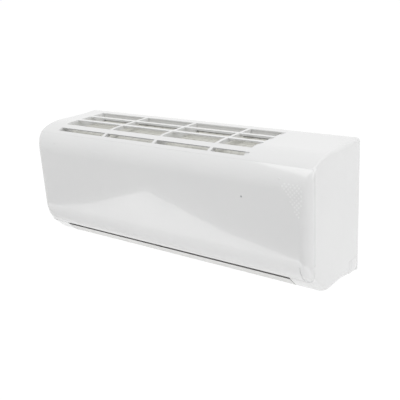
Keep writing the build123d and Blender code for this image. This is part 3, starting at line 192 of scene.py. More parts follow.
# two colours that drift into each other, the band of roughness, and what else differs from plain plastic
mouldedLooks = {
    "casing_white": ("glossWhite", (0.80, 0.802, 0.80), (0.785, 0.787, 0.787), (0.10, 0.16),
                     {"coat": 0.6, "grain": 260.0, "grainDepth": 0.000004}),
    "louver_white": ("satinWhite", (0.77, 0.765, 0.75), (0.75, 0.745, 0.73), (0.28, 0.36),
                     {"coat": 0.1, "grain": 700.0, "grainDepth": 0.000008}),
    "inner_white": ("mattWhite", (0.72, 0.715, 0.70), (0.68, 0.675, 0.66), (0.48, 0.60),
                    {"grain": 1200.0, "grainDepth": 0.00002}),
    "window_tint": ("windowTint", (0.46, 0.47, 0.48), (0.42, 0.43, 0.44), (0.08, 0.12), {"coat": 0.5}),
    "zinc_sheet": ("zincSheet", (0.62, 0.63, 0.64), (0.50, 0.51, 0.53), (0.30, 0.48),
                   {"grain": 350.0, "metal": 0.9, "cloud": 70.0}),
    "copper": ("copperTube", (0.74, 0.40, 0.27), (0.58, 0.29, 0.18), (0.22, 0.42),
               {"grain": 400.0, "metal": 0.95, "cloud": 60.0, "stretch": (0.4, 1, 1)}),
    "nut_brass": ("nutBrass", (0.74, 0.58, 0.28), (0.60, 0.45, 0.20), (0.20, 0.32),
                  {"grainDepth": 0.000008, "metal": 0.95, "cloud": 90.0}),
    "foam_black": ("foamBlack", (0.055, 0.055, 0.06), (0.03, 0.03, 0.034), (0.75, 0.92),
                   {"grain": 1500.0, "grainDepth": 0.0003, "cloud": 150.0}),
    "rubber_black": ("rubberBlack", (0.045, 0.045, 0.045), (0.03, 0.03, 0.03), (0.5, 0.65),
                     {"grain": 1400.0, "grainDepth": 0.00004}),
    "fan_black": ("fanBlack", (0.07, 0.07, 0.075), (0.05, 0.05, 0.055), (0.38, 0.5),
                  {"grainDepth": 0.00003, "cloud": 40.0, "stretch": (0.3, 1, 1)}),
    "steel": ("platedSteel", (0.58, 0.59, 0.60), (0.46, 0.47, 0.48), (0.25, 0.38),
              {"grain": 800.0, "metal": 0.95, "cloud": 80.0}),
    "motor_case": ("motorCase", (0.70, 0.70, 0.68), (0.62, 0.62, 0.60), (0.45, 0.58),
                   {"grain": 1300.0, "grainDepth": 0.00004}),
    "board_green": ("boardGreen", (0.04, 0.16, 0.07), (0.02, 0.10, 0.04), (0.25, 0.4),
                    {"coat": 0.2, "grain": 500.0, "grainDepth": 0.00002, "cloud": 200.0}),
    "terminal_black": ("terminalBlack", (0.05, 0.05, 0.055), (0.035, 0.035, 0.04), (0.4, 0.5), {}),
    "button_grey": ("buttonGrey", (0.55, 0.55, 0.55), (0.50, 0.50, 0.50), (0.2, 0.3), {"coat": 0.2}),
}
finishes = {slot: mouldedFinish(*look, **extra) for slot, (*look, extra) in mouldedLooks.items()}
# painted light: the net's two colours are paler than its own, to make up for the dim light that reaches it
# through the slots
finishes["filter_net"] = wovenFinish("filterNet", (0.75, 0.745, 0.705), (0.60, 0.595, 0.55), 0.0011)
finishes["fin_aluminium"] = finFinish("finAluminium", (0.75, 0.76, 0.78), (0.62, 0.64, 0.67), 0.0018)
# painted highlight: the raised dots get a paler white than the casing, so that they read as lit
dotHighlightFinish = mouldedFinish("paleDots", (0.86, 0.862, 0.86), (0.85, 0.852, 0.852), (0.10, 0.16), 0.6)
slotOf = {row["node"]: row["material_slot"] for row in frame["record"]["subparts"]}
print("finishes made:", len(finishes))


def keep(name, shape, slot, body, nodes=()):
    # hangs a finished mesh on its body, in the place of the CAD nodes that it stands for
    shape.materials.clear()
    shape.materials.append(finishes[slot])
    piece = linked(name, shape)
    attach(piece, body)
    if nodes:
        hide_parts(*nodes)
    return piece


def shaded(shape, angle=crispAngle):
    # smooth shading with crisp edges
    shape.polygons.foreach_set("use_smooth", [True] * len(shape.polygons))
    shape.set_sharp_from_angle(angle=math.radians(angle))
    return shape


def meshOf(mesh, name):
    # the finished mesh of one under construction
    shape = bpy.data.meshes.new(name)
    mesh.to_mesh(shape)
    mesh.free()
    return shape


def closeUp(mesh, name="shape", angle=crispAngle):
    # welds, turns the faces outwards and shades
    bmesh.ops.remove_doubles(mesh, verts=mesh.verts, dist=weldGap)
    bmesh.ops.recalc_face_normals(mesh, faces=mesh.faces)
    return shaded(meshOf(mesh, name), angle)


def plainMesh(holder):
    # what an object's modifiers make of its mesh; the object goes
    graph = bpy.context.evaluated_depsgraph_get()
    graph.update()
    result = bpy.data.meshes.new_from_object(holder.evaluated_get(graph), depsgraph=graph)
    holder.modifiers.clear()
    bpy.data.objects.remove(holder)
    return result


def applied(shape, modifiers, angle=crispAngle):
    holder = linked("holder", shape)
    for kind, values in modifiers:
        modifier = holder.modifiers.new(kind.lower(), kind)
        for key, value in values.items():
            setattr(modifier, key, value)
    return shaded(plainMesh(holder), angle)


def easing(edge, angle):
    # settings of a bevel on edges that turn by more than the angle
    return ("BEVEL", {"width": edge * mm, "segments": 2, "limit_method": "ANGLE",
                      "angle_limit": math.radians(angle), "use_clamp_overlap": True})


def joined(shapes):
    # several meshes as one
    mesh = bmesh.new()
    for shape in shapes:
        mesh.from_mesh(shape)
    return shaded(meshOf(mesh, "joined"))


def barShape(points, x, edge=0.4):
    # a polygon of (y, h) points run along X, with its edges eased
    mesh = bmesh.new()
    near = [mesh.verts.new(place(x[0], *point)) for point in points]
    far = [mesh.verts.new(place(x[1], *point)) for point in points]
    mesh.faces.new(near)
    mesh.faces.new(far[::-1])
    for n, vertex in enumerate(near):
        after = (n + 1) % len(near)
        mesh.faces.new((vertex, near[after], far[after], far[n]))
    bmesh.ops.recalc_face_normals(mesh, faces=mesh.faces)
    if edge:
        sharp = [e for e in mesh.edges if e.calc_face_angle(0) > math.radians(40)]
        bmesh.ops.bevel(mesh, geom=sharp, offset=edge * mm, segments=2, affect="EDGES", clamp_overlap=True)
    return closeUp(mesh)


def roundBar(x, centre, radius, sides=32, edge=0.4):
    return barShape([(centre[0] + u, centre[1] + v) for u, v in circlePoints(radius, sides)], x, edge)


def boxShape(x, y, h, edge=0.4):
    return barShape([(y[0], h[0]), (y[1], h[0]), (y[1], h[1]), (y[0], h[1])], x, edge)


def boxCorners(x, y, h):
    # the least and the greatest corner of a box, from its spans
    return place(min(x), min(y), min(h)), place(max(x), max(y), max(h))


def facesIn(mesh, lowest, highest):
    found = []
    for face in mesh.faces:
        middle = face.calc_center_median()
        if all(lowest[k] < middle[k] < highest[k] for k in range(3)):
            found.append(face)
    return found


def splitAlong(mesh, lowest, highest, axes):
    # splits the faces that cross the sides of a box
    for axis in axes:
        for value in (lowest[axis], highest[axis]):
            crossing = []
            for face in mesh.faces:
                spans = [[v.co[k] for v in face.verts] for k in range(3)]
                if all(min(s) < highest[k] and max(s) > lowest[k] for k, s in enumerate(spans)):
                    if min(spans[axis]) < value - planeGap < value + planeGap < max(spans[axis]):
                        crossing.append(face)
            if crossing:
                edges = {e for f in crossing for e in f.edges}
                verts = {v for f in crossing for v in f.verts}
                point, normal = Vector((0, 0, 0)), Vector((0, 0, 0))
                point[axis], normal[axis] = value, 1
                bmesh.ops.bisect_plane(mesh, geom=[*verts, *edges, *crossing], dist=planeGap,
                                       plane_co=point, plane_no=normal)


def cutBox(mesh, x, y, h):
    # takes away the part of a thin surface that lies inside a box
    lowest, highest = boxCorners(x, y, h)
    splitAlong(mesh, lowest, highest, (0, 1, 2))
    bmesh.ops.delete(mesh, geom=facesIn(mesh, lowest, highest), context="FACES")


def pressIn(mesh, x, y, h, push):
    # a shallow groove: the faces inside the box sink along X
    lowest, highest = boxCorners(x, y, h)
    splitAlong(mesh, lowest, highest, (1, 2))
    made = bmesh.ops.extrude_face_region(mesh, geom=facesIn(mesh, lowest, highest))
    moved = [item for item in made["geom"] if isinstance(item, bmesh.types.BMVert)]
    bmesh.ops.translate(mesh, verts=moved, vec=Vector((push, 0, 0)) * mm)


def trim(mesh, point, normal):
    # keeps the side that the normal points away from
    everything = [*mesh.verts, *mesh.edges, *mesh.faces]
    return bmesh.ops.bisect_plane(mesh, geom=everything, dist=planeGap, plane_co=point, plane_no=normal,
                                  clear_outer=True)


# arcs are (centre y, centre h, radius); underside points are (y, h, normal y, normal h)
casing = {
    "half": 357.5,
    "top": 282.0,
    "rear": -0.5,
    "front": -208.4,
    "corner": (-12.0, 270.5, 11.5),
    "crown": (-128.0, 162.0, 120.0),
    "brow": 114.68,
    "nose": (-156.4, 223.8, 52.0),
    "chin": (-134.0, 98.6, 74.4),
    "belly": (-126.6, 62.8, 54.3),
    "rearLines": (0.0, 6.0, 32.0, 90.0, 150.0, 210.0, 262.0, 270.5),
    "topLines": (-12.0, -22.0, -40.0, -56.0, -90.0, -128.0),
    "frontLines": (223.8, 190.0, 150.0, 120.0, 98.6),
    "underside": ((-110.0, 8.5, 0, -1), (-98.0, 8.5, 0, -1), (-75.0, 8.5, -0.07, -1),
                  (-41.0, 3.76, -0.138, -0.99), (-14.0, 0.0, -0.07, -1)),
    "heel": (-6.0, 0.0, 0, -1),
    "seam": -187.1,
    "wall": 2.5,
    "linerInset": 4.0,
    "endRadius": 21.0,
    "endSteps": 12,
    "endLine": 21.7,
    "endClear": 21.5,
}
slots = {
    "columns": [-303.2, -160.7, -18.2, 124.3, 212.3],
    "ribWidth": 7.4,
    "rows": [(31.0, 65.0), (74.0, 105.0), (115.0, 151.0), (167.0, 178.5)],
}
beyond = {"end": 359.0, "front": -210.0, "rear": 1.0, "under": -1.0}  # clear of the casing, for cuts


def arcOf(centre, start, end, step=3.0, extra=()):
    # points of an arc, as (y, h, normal y, normal h), with extra places along Y among them
    cy, ch, radius = centre
    count = max(2, round(abs(end - start) / step))
    angles = [start + (end - start) * n / count for n in range(count + 1)]
    for y in extra:
        ratio = (y - cy) / radius
        if abs(ratio) < 1:
            angle = math.degrees(math.acos(ratio))
            if min(start, end) < angle < max(start, end):
                angles = [a for a in angles if abs(a - angle) > 0.6 or a in (start, end)] + [angle]
    found = []
    for angle in sorted(angles, reverse=end < start):
        c, s = math.cos(math.radians(angle)), math.sin(math.radians(angle))
        found.append((cy + radius * c, ch + radius * s, c, s))
    return found


def casingOutline():
    # the closed cross-section from the foot of the rear, with the radius of the end edge at each point
    rowEdges = [-value for row in slots["rows"] for value in row]
    top, brow, bend = casing["top"], casing["brow"], casing["endRadius"]
    points = []

    def add(items, radiusFrom, radiusTo):
        for n, item in enumerate(items):
            if points and math.dist(points[-1][:2], item[:2]) < 0.05:
                continue
            t = smoothStep(n / max(1, len(items) - 1))
            points.append((*item, radiusFrom + (radiusTo - radiusFrom) * t))

    add([(casing["rear"], h, 1, 0) for h in casing["rearLines"]], 0.6, 0.8)
    add(arcOf(casing["corner"], 0, 90, 9), 0.8, 5.0)
    flat = {*casing["topLines"], *[y for y in rowEdges if y > casing["crown"][0]]}
    flat = sorted(flat, reverse=True)
    widest = -56.0
    add([(y, top, 0, 1) for y in flat if y >= widest], 5.0, 11.0)
    add([(y, top, 0, 1) for y in flat if y < widest], 11.0, 6.0)
    add(arcOf(casing["crown"], 90, brow, extra=rowEdges), 6.0, 4.0)
    add(arcOf(casing["nose"], brow, 180, extra=rowEdges), 4.0, bend)
    add([(casing["front"], h, -1, 0) for h in casing["frontLines"]], bend, bend)
    add(arcOf(casing["chin"], 180, 225), bend, 13.0)
    add(arcOf(casing["belly"], 225, 270), 13.0, 9.0)
    add(casing["underside"], 9.0, 7.0)
    add([casing["heel"]], 4.0, 4.0)
    return points


def outlinePart(y, h):
    # the outline's points inside the given spans
    return [p for p in casingOutline() if y[0] < p[0] < y[1] and h[0] < p[1] < h[1]]


def sunk(line, depth):
    return [(y - ny * depth, h - nh * depth) for y, h, ny, nh, r in line]


def layer(line, near, far):
    # the section between two depths under the outline
    return sunk(line, near) + sunk(line[::-1], far)


def casingSurface(inset, lines=(), endInset=None, flush=0.0):
    # the closed outer form moved inwards by inset, with rounded ends, and mesh lines at the given places
    # along X; over the flush length before the seam the inset runs out to nothing
    outline = casingOutline()
    endInset = inset if endInset is None else endInset
    half = casing["half"] - endInset
    steps = casing["endSteps"]
    inner = sorted({-half + 40, half - 40, casing["endLine"] - half, half - casing["endLine"],
                    -200.0, -100.0, 0.0, 100.0, 200.0, *lines})
    sink = [inset * smoothStep((casing["seam"] - point[0]) / flush) if flush and point[1] > 150 else inset
            for point in outline]
    mesh = bmesh.new()

    def endRing(side, step):
        turn = math.radians(90 * step / steps)
        row = []
        for n, (y, h, ny, nh, radius) in enumerate(outline):
            r = max(radius - endInset, 0.4)
            deep = sink[n] + r * (1 - math.sin(turn))
            x = side * (half - r * (1 - math.cos(turn)))
            row.append(mesh.verts.new(place(x, y - ny * deep, h - nh * deep)))
        return row

    rings = [endRing(-1, step) for step in range(steps + 1)]
    for x in inner:
        if abs(x) < half - casing["endClear"]:
            rings.append([mesh.verts.new(place(x, y - ny * sink[n], h - nh * sink[n]))
                          for n, (y, h, ny, nh, r) in enumerate(outline)])
    rings += [endRing(1, step) for step in range(steps, -1, -1)]
    for first, second in zip(rings, rings[1:]):
        for n in range(len(outline)):
            after = (n + 1) % len(outline)
            mesh.faces.new((first[n], first[after], second[after], second[n]))
    mesh.faces.new(rings[0])
    mesh.faces.new(rings[-1][::-1])
    bmesh.ops.remove_doubles(mesh, verts=mesh.verts, dist=0.000005)
    bmesh.ops.recalc_face_normals(mesh, faces=mesh.faces)
    return mesh


def walled(mesh, thickness, edge, name):
    # gives a cut surface its wall, inwards, eases the cut edges and clears the slivers that this leaves
    wall = ("SOLIDIFY", {"thickness": thickness * mm, "offset": -1.0, "use_even_offset": False})
    shell = applied(closeUp(mesh, name), [wall, easing(edge, 60)])
    mesh = bmesh.new()
    mesh.from_mesh(shell)
    bmesh.ops.remove_doubles(mesh, verts=mesh.verts, dist=sliverGap)
    bmesh.ops.dissolve_degenerate(mesh, dist=sliverGap, edges=mesh.edges)
    bmesh.ops.holes_fill(mesh, edges=[e for e in mesh.edges if e.is_boundary], sides=0)
    return closeUp(mesh, name)


def roundHole(mesh, x, h, radius, y, reach=1.0, sides=24):
    # a round hole in the flat front: a square is cut, then filled up to the circle
    half = radius * 1.5
    cutBox(mesh, (x - half, x + half), (y - reach, y + reach), (h - half, h + half))
    rim = [e for e in mesh.edges if e.is_boundary and all(
        abs(v.co.x / mm - x) < half + 0.1 and abs(v.co.z / mm + middleHeight - h) < half + 0.1
        and abs(v.co.y / mm - y) < reach for v in e.verts)]
    level = rim[0].verts[0].co.y
    ring = []
    for u, v in circlePoints(radius, sides):
        ring.append(mesh.verts.new(place(x + u, 0, h + v)))
        ring[-1].co.y = level
    circle = [mesh.edges.new((ring[n], ring[(n + 1) % sides])) for n in range(sides)]
    bmesh.ops.triangle_fill(mesh, use_beauty=True, use_dissolve=False, edges=rim + circle)


hinge = (-178.0, 265.0)  # y and h of the pins' axis
armPlace = 295.0
# the window is a round hole, as (x, h, radius)
panelLook = {
    "inset": 0.3,
    "bottom": 46.8,
    "flush": 14.0,
    "gap": 0.15,
    "edge": 0.2,
    "notchHeight": 83.0,
    "notchWidth": 22.0,
    "window": (215.9, 201.0, 2.0),
    "armHalf": 2.5,
    "armRadius": 2.3,
    "armFoot": 244.0,
    "elbowLap": 2.0,
    "pinRadius": 2.0,
    "pinReach": (2.0, 7.0),
}


def armBar(start, end, lap, x):
    # one straight run of a hinge arm, carried on past its end by lap
    dy, dh = end[0] - start[0], end[1] - start[1]
    span = math.hypot(dy, dh)
    reach = panelLook["armRadius"]
    wy, wh = dh / span * reach, -dy / span * reach
    last = (end[0] + dy / span * lap, end[1] + dh / span * lap)
    return barShape([(start[0] + wy, start[1] + wh), (last[0] + wy, last[1] + wh),
                     (last[0] - wy, last[1] - wh), (start[0] - wy, start[1] - wh)], x)


def makePanel():
    inset, front = panelLook["inset"], casing["front"]
    notch = casing["half"] - panelLook["notchWidth"]
    mesh = casingSurface(inset, [-notch, notch], None, panelLook["flush"])
    trim(mesh, place(0, casing["seam"] - panelLook["gap"], 0), Vector((0, 1, 0)))
    trim(mesh, place(0, 0, panelLook["bottom"]), Vector((0, 0, -1)))
    for side in (-1, 1):
        cutBox(mesh, (side * beyond["end"], side * notch), (beyond["front"], 0),
               (0, panelLook["notchHeight"]))
    roundHole(mesh, *panelLook["window"], front + inset)
    parts = [walled(mesh, casing["wall"] - inset, panelLook["edge"], "panelShell")]
    elbow = (hinge[0] - 0.8, hinge[1] - 13.4)
    foot = (front + 5.0, panelLook["armFoot"])
    for side in (-1, 1):
        x = side * armPlace
        wide = (x - panelLook["armHalf"], x + panelLook["armHalf"])
        parts.append(armBar(hinge, elbow, panelLook["elbowLap"], wide))
        parts.append(armBar(elbow, foot, 0.0, wide))
        parts.append(roundBar(wide, hinge, panelLook["armRadius"]))
        pin = sorted(x + side * reach for reach in panelLook["pinReach"])
        parts.append(roundBar(pin, hinge, panelLook["pinRadius"]))
    keep("frontPanel", joined(parts), "casing_white", "panel", ["front_panel"])


makePanel()
print("front panel made")


# spans are along X, Y and h, in that order
frameLook = {
    "edge": 0.15,
    "mouth": {"half": 303.4, "rear": -98.0, "top": 47.0},
    "under": {"half": 300.0, "front": -99.0, "top": 30.0},
    "back": ((-343.5, 343.5), (-6.0, 1.0), (6.0, 262.0)),
    "knockout": ((-41.0, -4.0), (6.0, 32.0)),
    "groove": ((-62.1, -61.5), (148.0, 258.0)),
    "grooveDepth": 0.3,
    "sideSkin": 356.0,
    "linerRear": -184.6,
    "filterOpening": ((-320.0, 212.3), (62.0, 252.0)),
    "terminalOpening": ((270.0, 315.0), (104.0, 150.0)),
    "openingRear": -188.1,
    "armSlot": (3.5, (236.0, 264.6)),
    "receiver": (246.0, 201.0, 4.3),
    "cornerInset": 1.2,
    "cornerStart": 335.65,
    "cornerTop": 82.7,
    "lip": (333.6, 335.9),
    "lipDepth": (2.75, 4.6),
    "grilleEnd": (207.5, 213.8),
    "grilleEndDepth": (2.4, 4.4),
    "flangeInset": (0.35, 6.2),
    "flangeWall": 2.2,
    "rearRim": ((-303.2, 212.3), (-29.6, -28.2), (264.3, 279.7)),
    "ribDeep": 6.0,
    "grilleRear": -29.0,
    "railWidth": 6.0,
    "rails": (-304.6, -18.2, 205.4),
    "filterCentre": (-122.0, 200.0, 62.0),
    "filterFoot": 118.0,
    "filterClear": 3.0,
}


def cutMouth(mesh, y):
    # the air outlet's opening
    half = frameLook["mouth"]["half"]
    cutBox(mesh, (-half, half), y, (beyond["under"], frameLook["mouth"]["top"]))


def cutArmSlots(mesh, y):
    half, h = frameLook["armSlot"]
    for x in (-armPlace, armPlace):
        cutBox(mesh, (x - half, x + half), y, h)


def frameSkin():
    half = slots["ribWidth"] / 2
    columns = []
    for left, right in zip(slots["columns"], slots["columns"][1:]):
        start = left + (0 if left == slots["columns"][0] else half)
        end = right - (0 if right == slots["columns"][-1] else half)
        columns.append((start, end))
    mouth, under = frameLook["mouth"], frameLook["under"]
    lines = [x for column in columns for x in column]
    lines += [-mouth["half"], mouth["half"], -under["half"], under["half"]]
    mesh = casingSurface(0.0, lines)
    trim(mesh, place(0, casing["seam"], 0), Vector((0, -1, 0)))
    for column in columns:
        for near, far in slots["rows"]:
            inside = facesIn(mesh, *boxCorners(column, (-far, -near), (255, casing["top"] + 2)))
            bmesh.ops.delete(mesh, geom=inside, context="FACES")
    cutMouth(mesh, (beyond["front"], mouth["rear"]))
    cutBox(mesh, (-under["half"], under["half"]), (under["front"], beyond["rear"]),
           (beyond["under"], under["top"]))
    cutBox(mesh, *frameLook["back"])
    ends = [(side * beyond["end"], side * frameLook["sideSkin"]) for side in (-1, 1)]
    for end in ends:
        cutBox(mesh, end, *frameLook["knockout"])
    shell = walled(mesh, casing["wall"], frameLook["edge"], "frameSkin")
    mesh = bmesh.new()
    mesh.from_mesh(shell)
    for end in ends:
        pressIn(mesh, end, *frameLook["groove"], -math.copysign(frameLook["grooveDepth"], end[0]))
    return closeUp(mesh, "frameSkin")


def frameLiner():
    # the wall behind the panel, with the openings for the filters, terminals, arms and receiver
    filters, terminals = frameLook["filterOpening"], frameLook["terminalOpening"]
    mesh = casingSurface(casing["linerInset"], [*filters[0], *terminals[0]])
    front = beyond["front"]
    trim(mesh, place(0, frameLook["linerRear"], 0), Vector((0, 1, 0)))
    for x, h in (filters, terminals):
        cutBox(mesh, x, (front, frameLook["openingRear"]), h)
    cutMouth(mesh, (front, frameLook["mouth"]["rear"]))
    for side in (-1, 1):
        cutBox(mesh, (side * beyond["end"], side * frameLook["cornerStart"]), (front, -187.0),
               (beyond["under"], 82.0))
    cutArmSlots(mesh, (front, frameLook["linerRear"] + 1))
    roundHole(mesh, *frameLook["receiver"], casing["front"] + casing["linerInset"])
    return walled(mesh, casing["wall"], frameLook["edge"], "frameLiner")


def frameCorners():
    # the frame's lower corners, a little back from the panel's face and level with the ends
    mesh = casingSurface(frameLook["cornerInset"], (), 0.0)
    trim(mesh, place(0, casing["seam"] + 0.5, 0), Vector((0, 1, 0)))
    trim(mesh, place(0, 0, frameLook["cornerTop"]), Vector((0, 0, 1)))
    reach = frameLook["cornerStart"]
    cutBox(mesh, (-reach, reach), (beyond["front"], -186.0), (beyond["under"], 84))
    return walled(mesh, casing["wall"], frameLook["edge"], "frameCorners")


def frameLips():
    # the strips that close the step between the panel's notches and the lower corners
    section = layer(outlinePart((beyond["front"], -187), (50, 90)), *frameLook["lipDepth"])
    start, end = frameLook["lip"]
    return [barShape(section, span, 0.0) for span in ((-end, -start), (start, end))]


def grilleEnd():
    # the shelf under the right ends of the slots
    section = layer(outlinePart((-181, frameLook["grilleRear"]), (200, 300)), *frameLook["grilleEndDepth"])
    return barShape(section, frameLook["grilleEnd"], 0.0)


def frameFlange():
    # the step between the outer skin and the liner, all the way round the seam
    mesh = bmesh.new()
    edges = []
    for inset in frameLook["flangeInset"]:
        part = casingSurface(inset)
        cut = trim(part, place(0, casing["seam"] + 0.1, 0), (0, 1, 0))
        line = [item for item in cut["geom_cut"] if isinstance(item, bmesh.types.BMEdge)]
        verts = {vertex: mesh.verts.new(vertex.co) for edge in line for vertex in edge.verts}
        edges += [mesh.edges.new([verts[vertex] for vertex in edge.verts]) for edge in line]
        part.free()
    bmesh.ops.bridge_loops(mesh, edges=edges)
    cutMouth(mesh, (-190, -180))
    cutArmSlots(mesh, (-190, -180))
    bmesh.ops.recalc_face_normals(mesh, faces=mesh.faces)
    if sum(face.normal.y for face in mesh.faces) > 0:
        bmesh.ops.reverse_faces(mesh, faces=mesh.faces)
    wall = ("SOLIDIFY", {"thickness": frameLook["flangeWall"] * mm, "offset": -1.0})
    return applied(meshOf(mesh, "flange"), [wall])


def railShape(x, width):
    # bar behind the skin and the liner that holds the filters' edges
    cy, ch, radius = frameLook["filterCentre"]
    rear, turn, foot = frameLook["grilleRear"], frameLook["linerRear"], frameLook["filterFoot"]
    behindSkin, behindLiner = 2.45, 6.45
    under = radius - frameLook["filterClear"]
    points = [(rear, casing["top"] - behindSkin)]
    points += sunk([p for p in casingOutline() if turn <= p[0] < -30 and p[1] > 200], behindSkin)
    points += sunk([p for p in casingOutline() if p[0] < turn and p[1] > 128], behindLiner)
    points += [(casing["front"] + behindLiner, foot), (cy - under, foot)]
    points += [p[:2] for p in arcOf((cy, ch, under), 180, 90, 90 / 16)]
    points.append((rear, ch + under))
    return barShape(points, (x - width / 2, x + width / 2), 0.0)


def newTree(name, sockets):
    tree = bpy.data.node_groups.new(name, "GeometryNodeTree")
    tree.interface.new_socket("Geometry", in_out="INPUT", socket_type="NodeSocketGeometry")
    for label, kind, value in [*sockets, ("Finish", "NodeSocketMaterial", None)]:
        socket = tree.interface.new_socket(label, in_out="INPUT", socket_type=kind)
        if value is not None:
            socket.default_value = value
    tree.interface.new_socket("Geometry", in_out="OUTPUT", socket_type="NodeSocketGeometry")
    return tree, tree.nodes.new("NodeGroupInput"), tree.nodes.new("NodeGroupOutput")


def finishTree(tree, start, end, source):
    # every tree ends in real geometry with its finish set
    real = tree.nodes.new("GeometryNodeRealizeInstances")
    paint = tree.nodes.new("GeometryNodeSetMaterial")
    tree.links.new(source, real.inputs["Geometry"])
    tree.links.new(real.outputs["Geometry"], paint.inputs["Geometry"])
    tree.links.new(start.outputs["Finish"], paint.inputs["Material"])
    tree.links.new(paint.outputs["Geometry"], end.inputs["Geometry"])
    return tree


def repeatInRow(tree, start, piece):
    # as many copies as Count says, a Step apart
    line = tree.nodes.new("GeometryNodeMeshLine")
    line.mode = "OFFSET"
    copies = tree.nodes.new("GeometryNodeInstanceOnPoints")
    tree.links.new(start.outputs["Count"], line.inputs["Count"])
    tree.links.new(start.outputs["Step"], line.inputs["Offset"])
    tree.links.new(line.outputs["Mesh"], copies.inputs["Points"])
    tree.links.new(piece, copies.inputs["Instance"])
    return copies.outputs["Instances"]


def rowTree():
    # copies of one piece in a straight row
    tree, start, end = newTree("pieceRow", [
        ("Count", "NodeSocketInt", 3),
        ("Step", "NodeSocketVector", (0.01, 0, 0)),
    ])
    return finishTree(tree, start, end, repeatInRow(tree, start, start.outputs["Geometry"]))


def ribTree():
    # a path swept with a flat section, repeated sideways
    tree, start, end = newTree("sweptRibs", [
        ("Width", "NodeSocketFloat", 0.005),
        ("Depth", "NodeSocketFloat", 0.006),
        ("Count", "NodeSocketInt", 3),
        ("Step", "NodeSocketVector", (0.1, 0, 0)),
    ])
    path = tree.nodes.new("GeometryNodeMeshToCurve")
    section = tree.nodes.new("GeometryNodeCurvePrimitiveQuadrilateral")
    sweep = tree.nodes.new("GeometryNodeCurveToMesh")
    sweep.inputs["Fill Caps"].default_value = True
    tree.links.new(start.outputs["Geometry"], path.inputs["Mesh"])
    tree.links.new(start.outputs["Width"], section.inputs["Width"])
    tree.links.new(start.outputs["Depth"], section.inputs["Height"])
    tree.links.new(path.outputs["Curve"], sweep.inputs["Curve"])
    tree.links.new(section.outputs["Curve"], sweep.inputs["Profile Curve"])
    return finishTree(tree, start, end, repeatInRow(tree, start, sweep.outputs["Mesh"]))


def studTree():
    # small copies on a field of points, turned to the surface, each a little different
    tree, start, end = newTree("studField", [
        ("Stud", "NodeSocketObject", None),
        ("Smallest", "NodeSocketFloat", 0.9),
        ("Largest", "NodeSocketFloat", 1.0),
        ("Seed", "NodeSocketInt", 7),
    ])
    shape = tree.nodes.new("GeometryNodeObjectInfo")
    copies = tree.nodes.new("GeometryNodeInstanceOnPoints")
    vary = tree.nodes.new("FunctionNodeRandomValue")
    vary.data_type = "FLOAT"
    facing = tree.nodes.new("GeometryNodeInputNamedAttribute")
    facing.data_type = "FLOAT_VECTOR"
    facing.inputs["Name"].default_value = "inward"
    turn = tree.nodes.new("FunctionNodeAlignRotationToVector")
    turn.axis = "Y"
    tree.links.new(facing.outputs["Attribute"], turn.inputs["Vector"])
    tree.links.new(turn.outputs["Rotation"], copies.inputs["Rotation"])
    tree.links.new(start.outputs["Stud"], shape.inputs["Object"])
    tree.links.new(start.outputs["Smallest"], vary.inputs[2])
    tree.links.new(start.outputs["Largest"], vary.inputs[3])
    tree.links.new(start.outputs["Seed"], vary.inputs["Seed"])
    tree.links.new(start.outputs["Geometry"], copies.inputs["Points"])
    tree.links.new(shape.outputs["Geometry"], copies.inputs["Instance"])
    tree.links.new(vary.outputs[1], copies.inputs["Scale"])
    return finishTree(tree, start, end, copies.outputs["Instances"])


pieceRow, sweptRibs, studField = rowTree(), ribTree(), studTree()


def grown(shape, tree, values, slot, angle=crispAngle):
    # runs a tree over a mesh and returns the plain result
    holder = linked("grower", shape)
    modifier = holder.modifiers.new("grow", "NODES")
    modifier.node_group = tree
    sockets = {item.name: item.identifier for item in tree.interface.items_tree if item.in_out == "INPUT"}
    for label, value in {**values, "Finish": finishes[slot]}.items():
        modifier[sockets[label]] = value
    result = plainMesh(holder)
    mesh = bmesh.new()
    mesh.from_mesh(result)
    bmesh.ops.recalc_face_normals(mesh, faces=mesh.faces)
    mesh.to_mesh(result)
    mesh.free()
    return shaded(result, angle)


def sweptAlong(points, width, depth, count, step, slot):
    # ribs that follow an open line of (x, y, h) points
    path = bpy.data.meshes.new("path")
    path.from_pydata([place(*p) for p in points], [(n, n + 1) for n in range(len(points) - 1)], [])
    values = {"Width": width * mm, "Depth": depth * mm, "Count": count, "Step": (step * mm, 0, 0)}
    return grown(path, sweptRibs, values, slot)


def grilleRibs():
    # deep cross ribs under the grille, along the crown
    ribDeep, rear = frameLook["ribDeep"], frameLook["grilleRear"]
    deep = casing["wall"] - 0.3 + ribDeep / 2
    line = [p for p in casingOutline() if -180.5 <= p[0] <= rear and p[1] > 200]
    x, after = slots["columns"][1:3]
    points = [(x, y, h) for y, h in [(rear, casing["top"] - deep), *sunk(line, deep)]]
    return sweptAlong(points, slots["ribWidth"], ribDeep, 3, after - x, "casing_white")


def makeFrame():
    parts = [frameSkin(), frameLiner(), frameCorners(), frameFlange(), grilleRibs(), grilleEnd()]
    parts += frameLips()
    parts += [railShape(x, frameLook["railWidth"]) for x in frameLook["rails"]]
    parts.append(boxShape(*frameLook["rearRim"], 0.0))
    for side in (-1, 1):
        lug = sorted(side * armPlace + side * reach for reach in (3.0, 6.0))
        parts.append(boxShape(lug, (hinge[0] - 4, hinge[0] + 4), (hinge[1] - 4, hinge[1] + 4.2), 0.5))
    keep("frontFrame", joined(parts), "casing_white", "casing", ["front_frame"])


makeFrame()
print("front frame made")


louverLook = {
    "inset": 0.15,
    "wall": 2.85,
    "top": 40.4,
    "back": -139.0,
    "half": 301.6,
    "pin": 307.1,
    "pinRadius": 2.5,
    "axis": (-150.0, 26.0),
    "eyeRadius": 5.0,
    "bracket": -48.0,
}


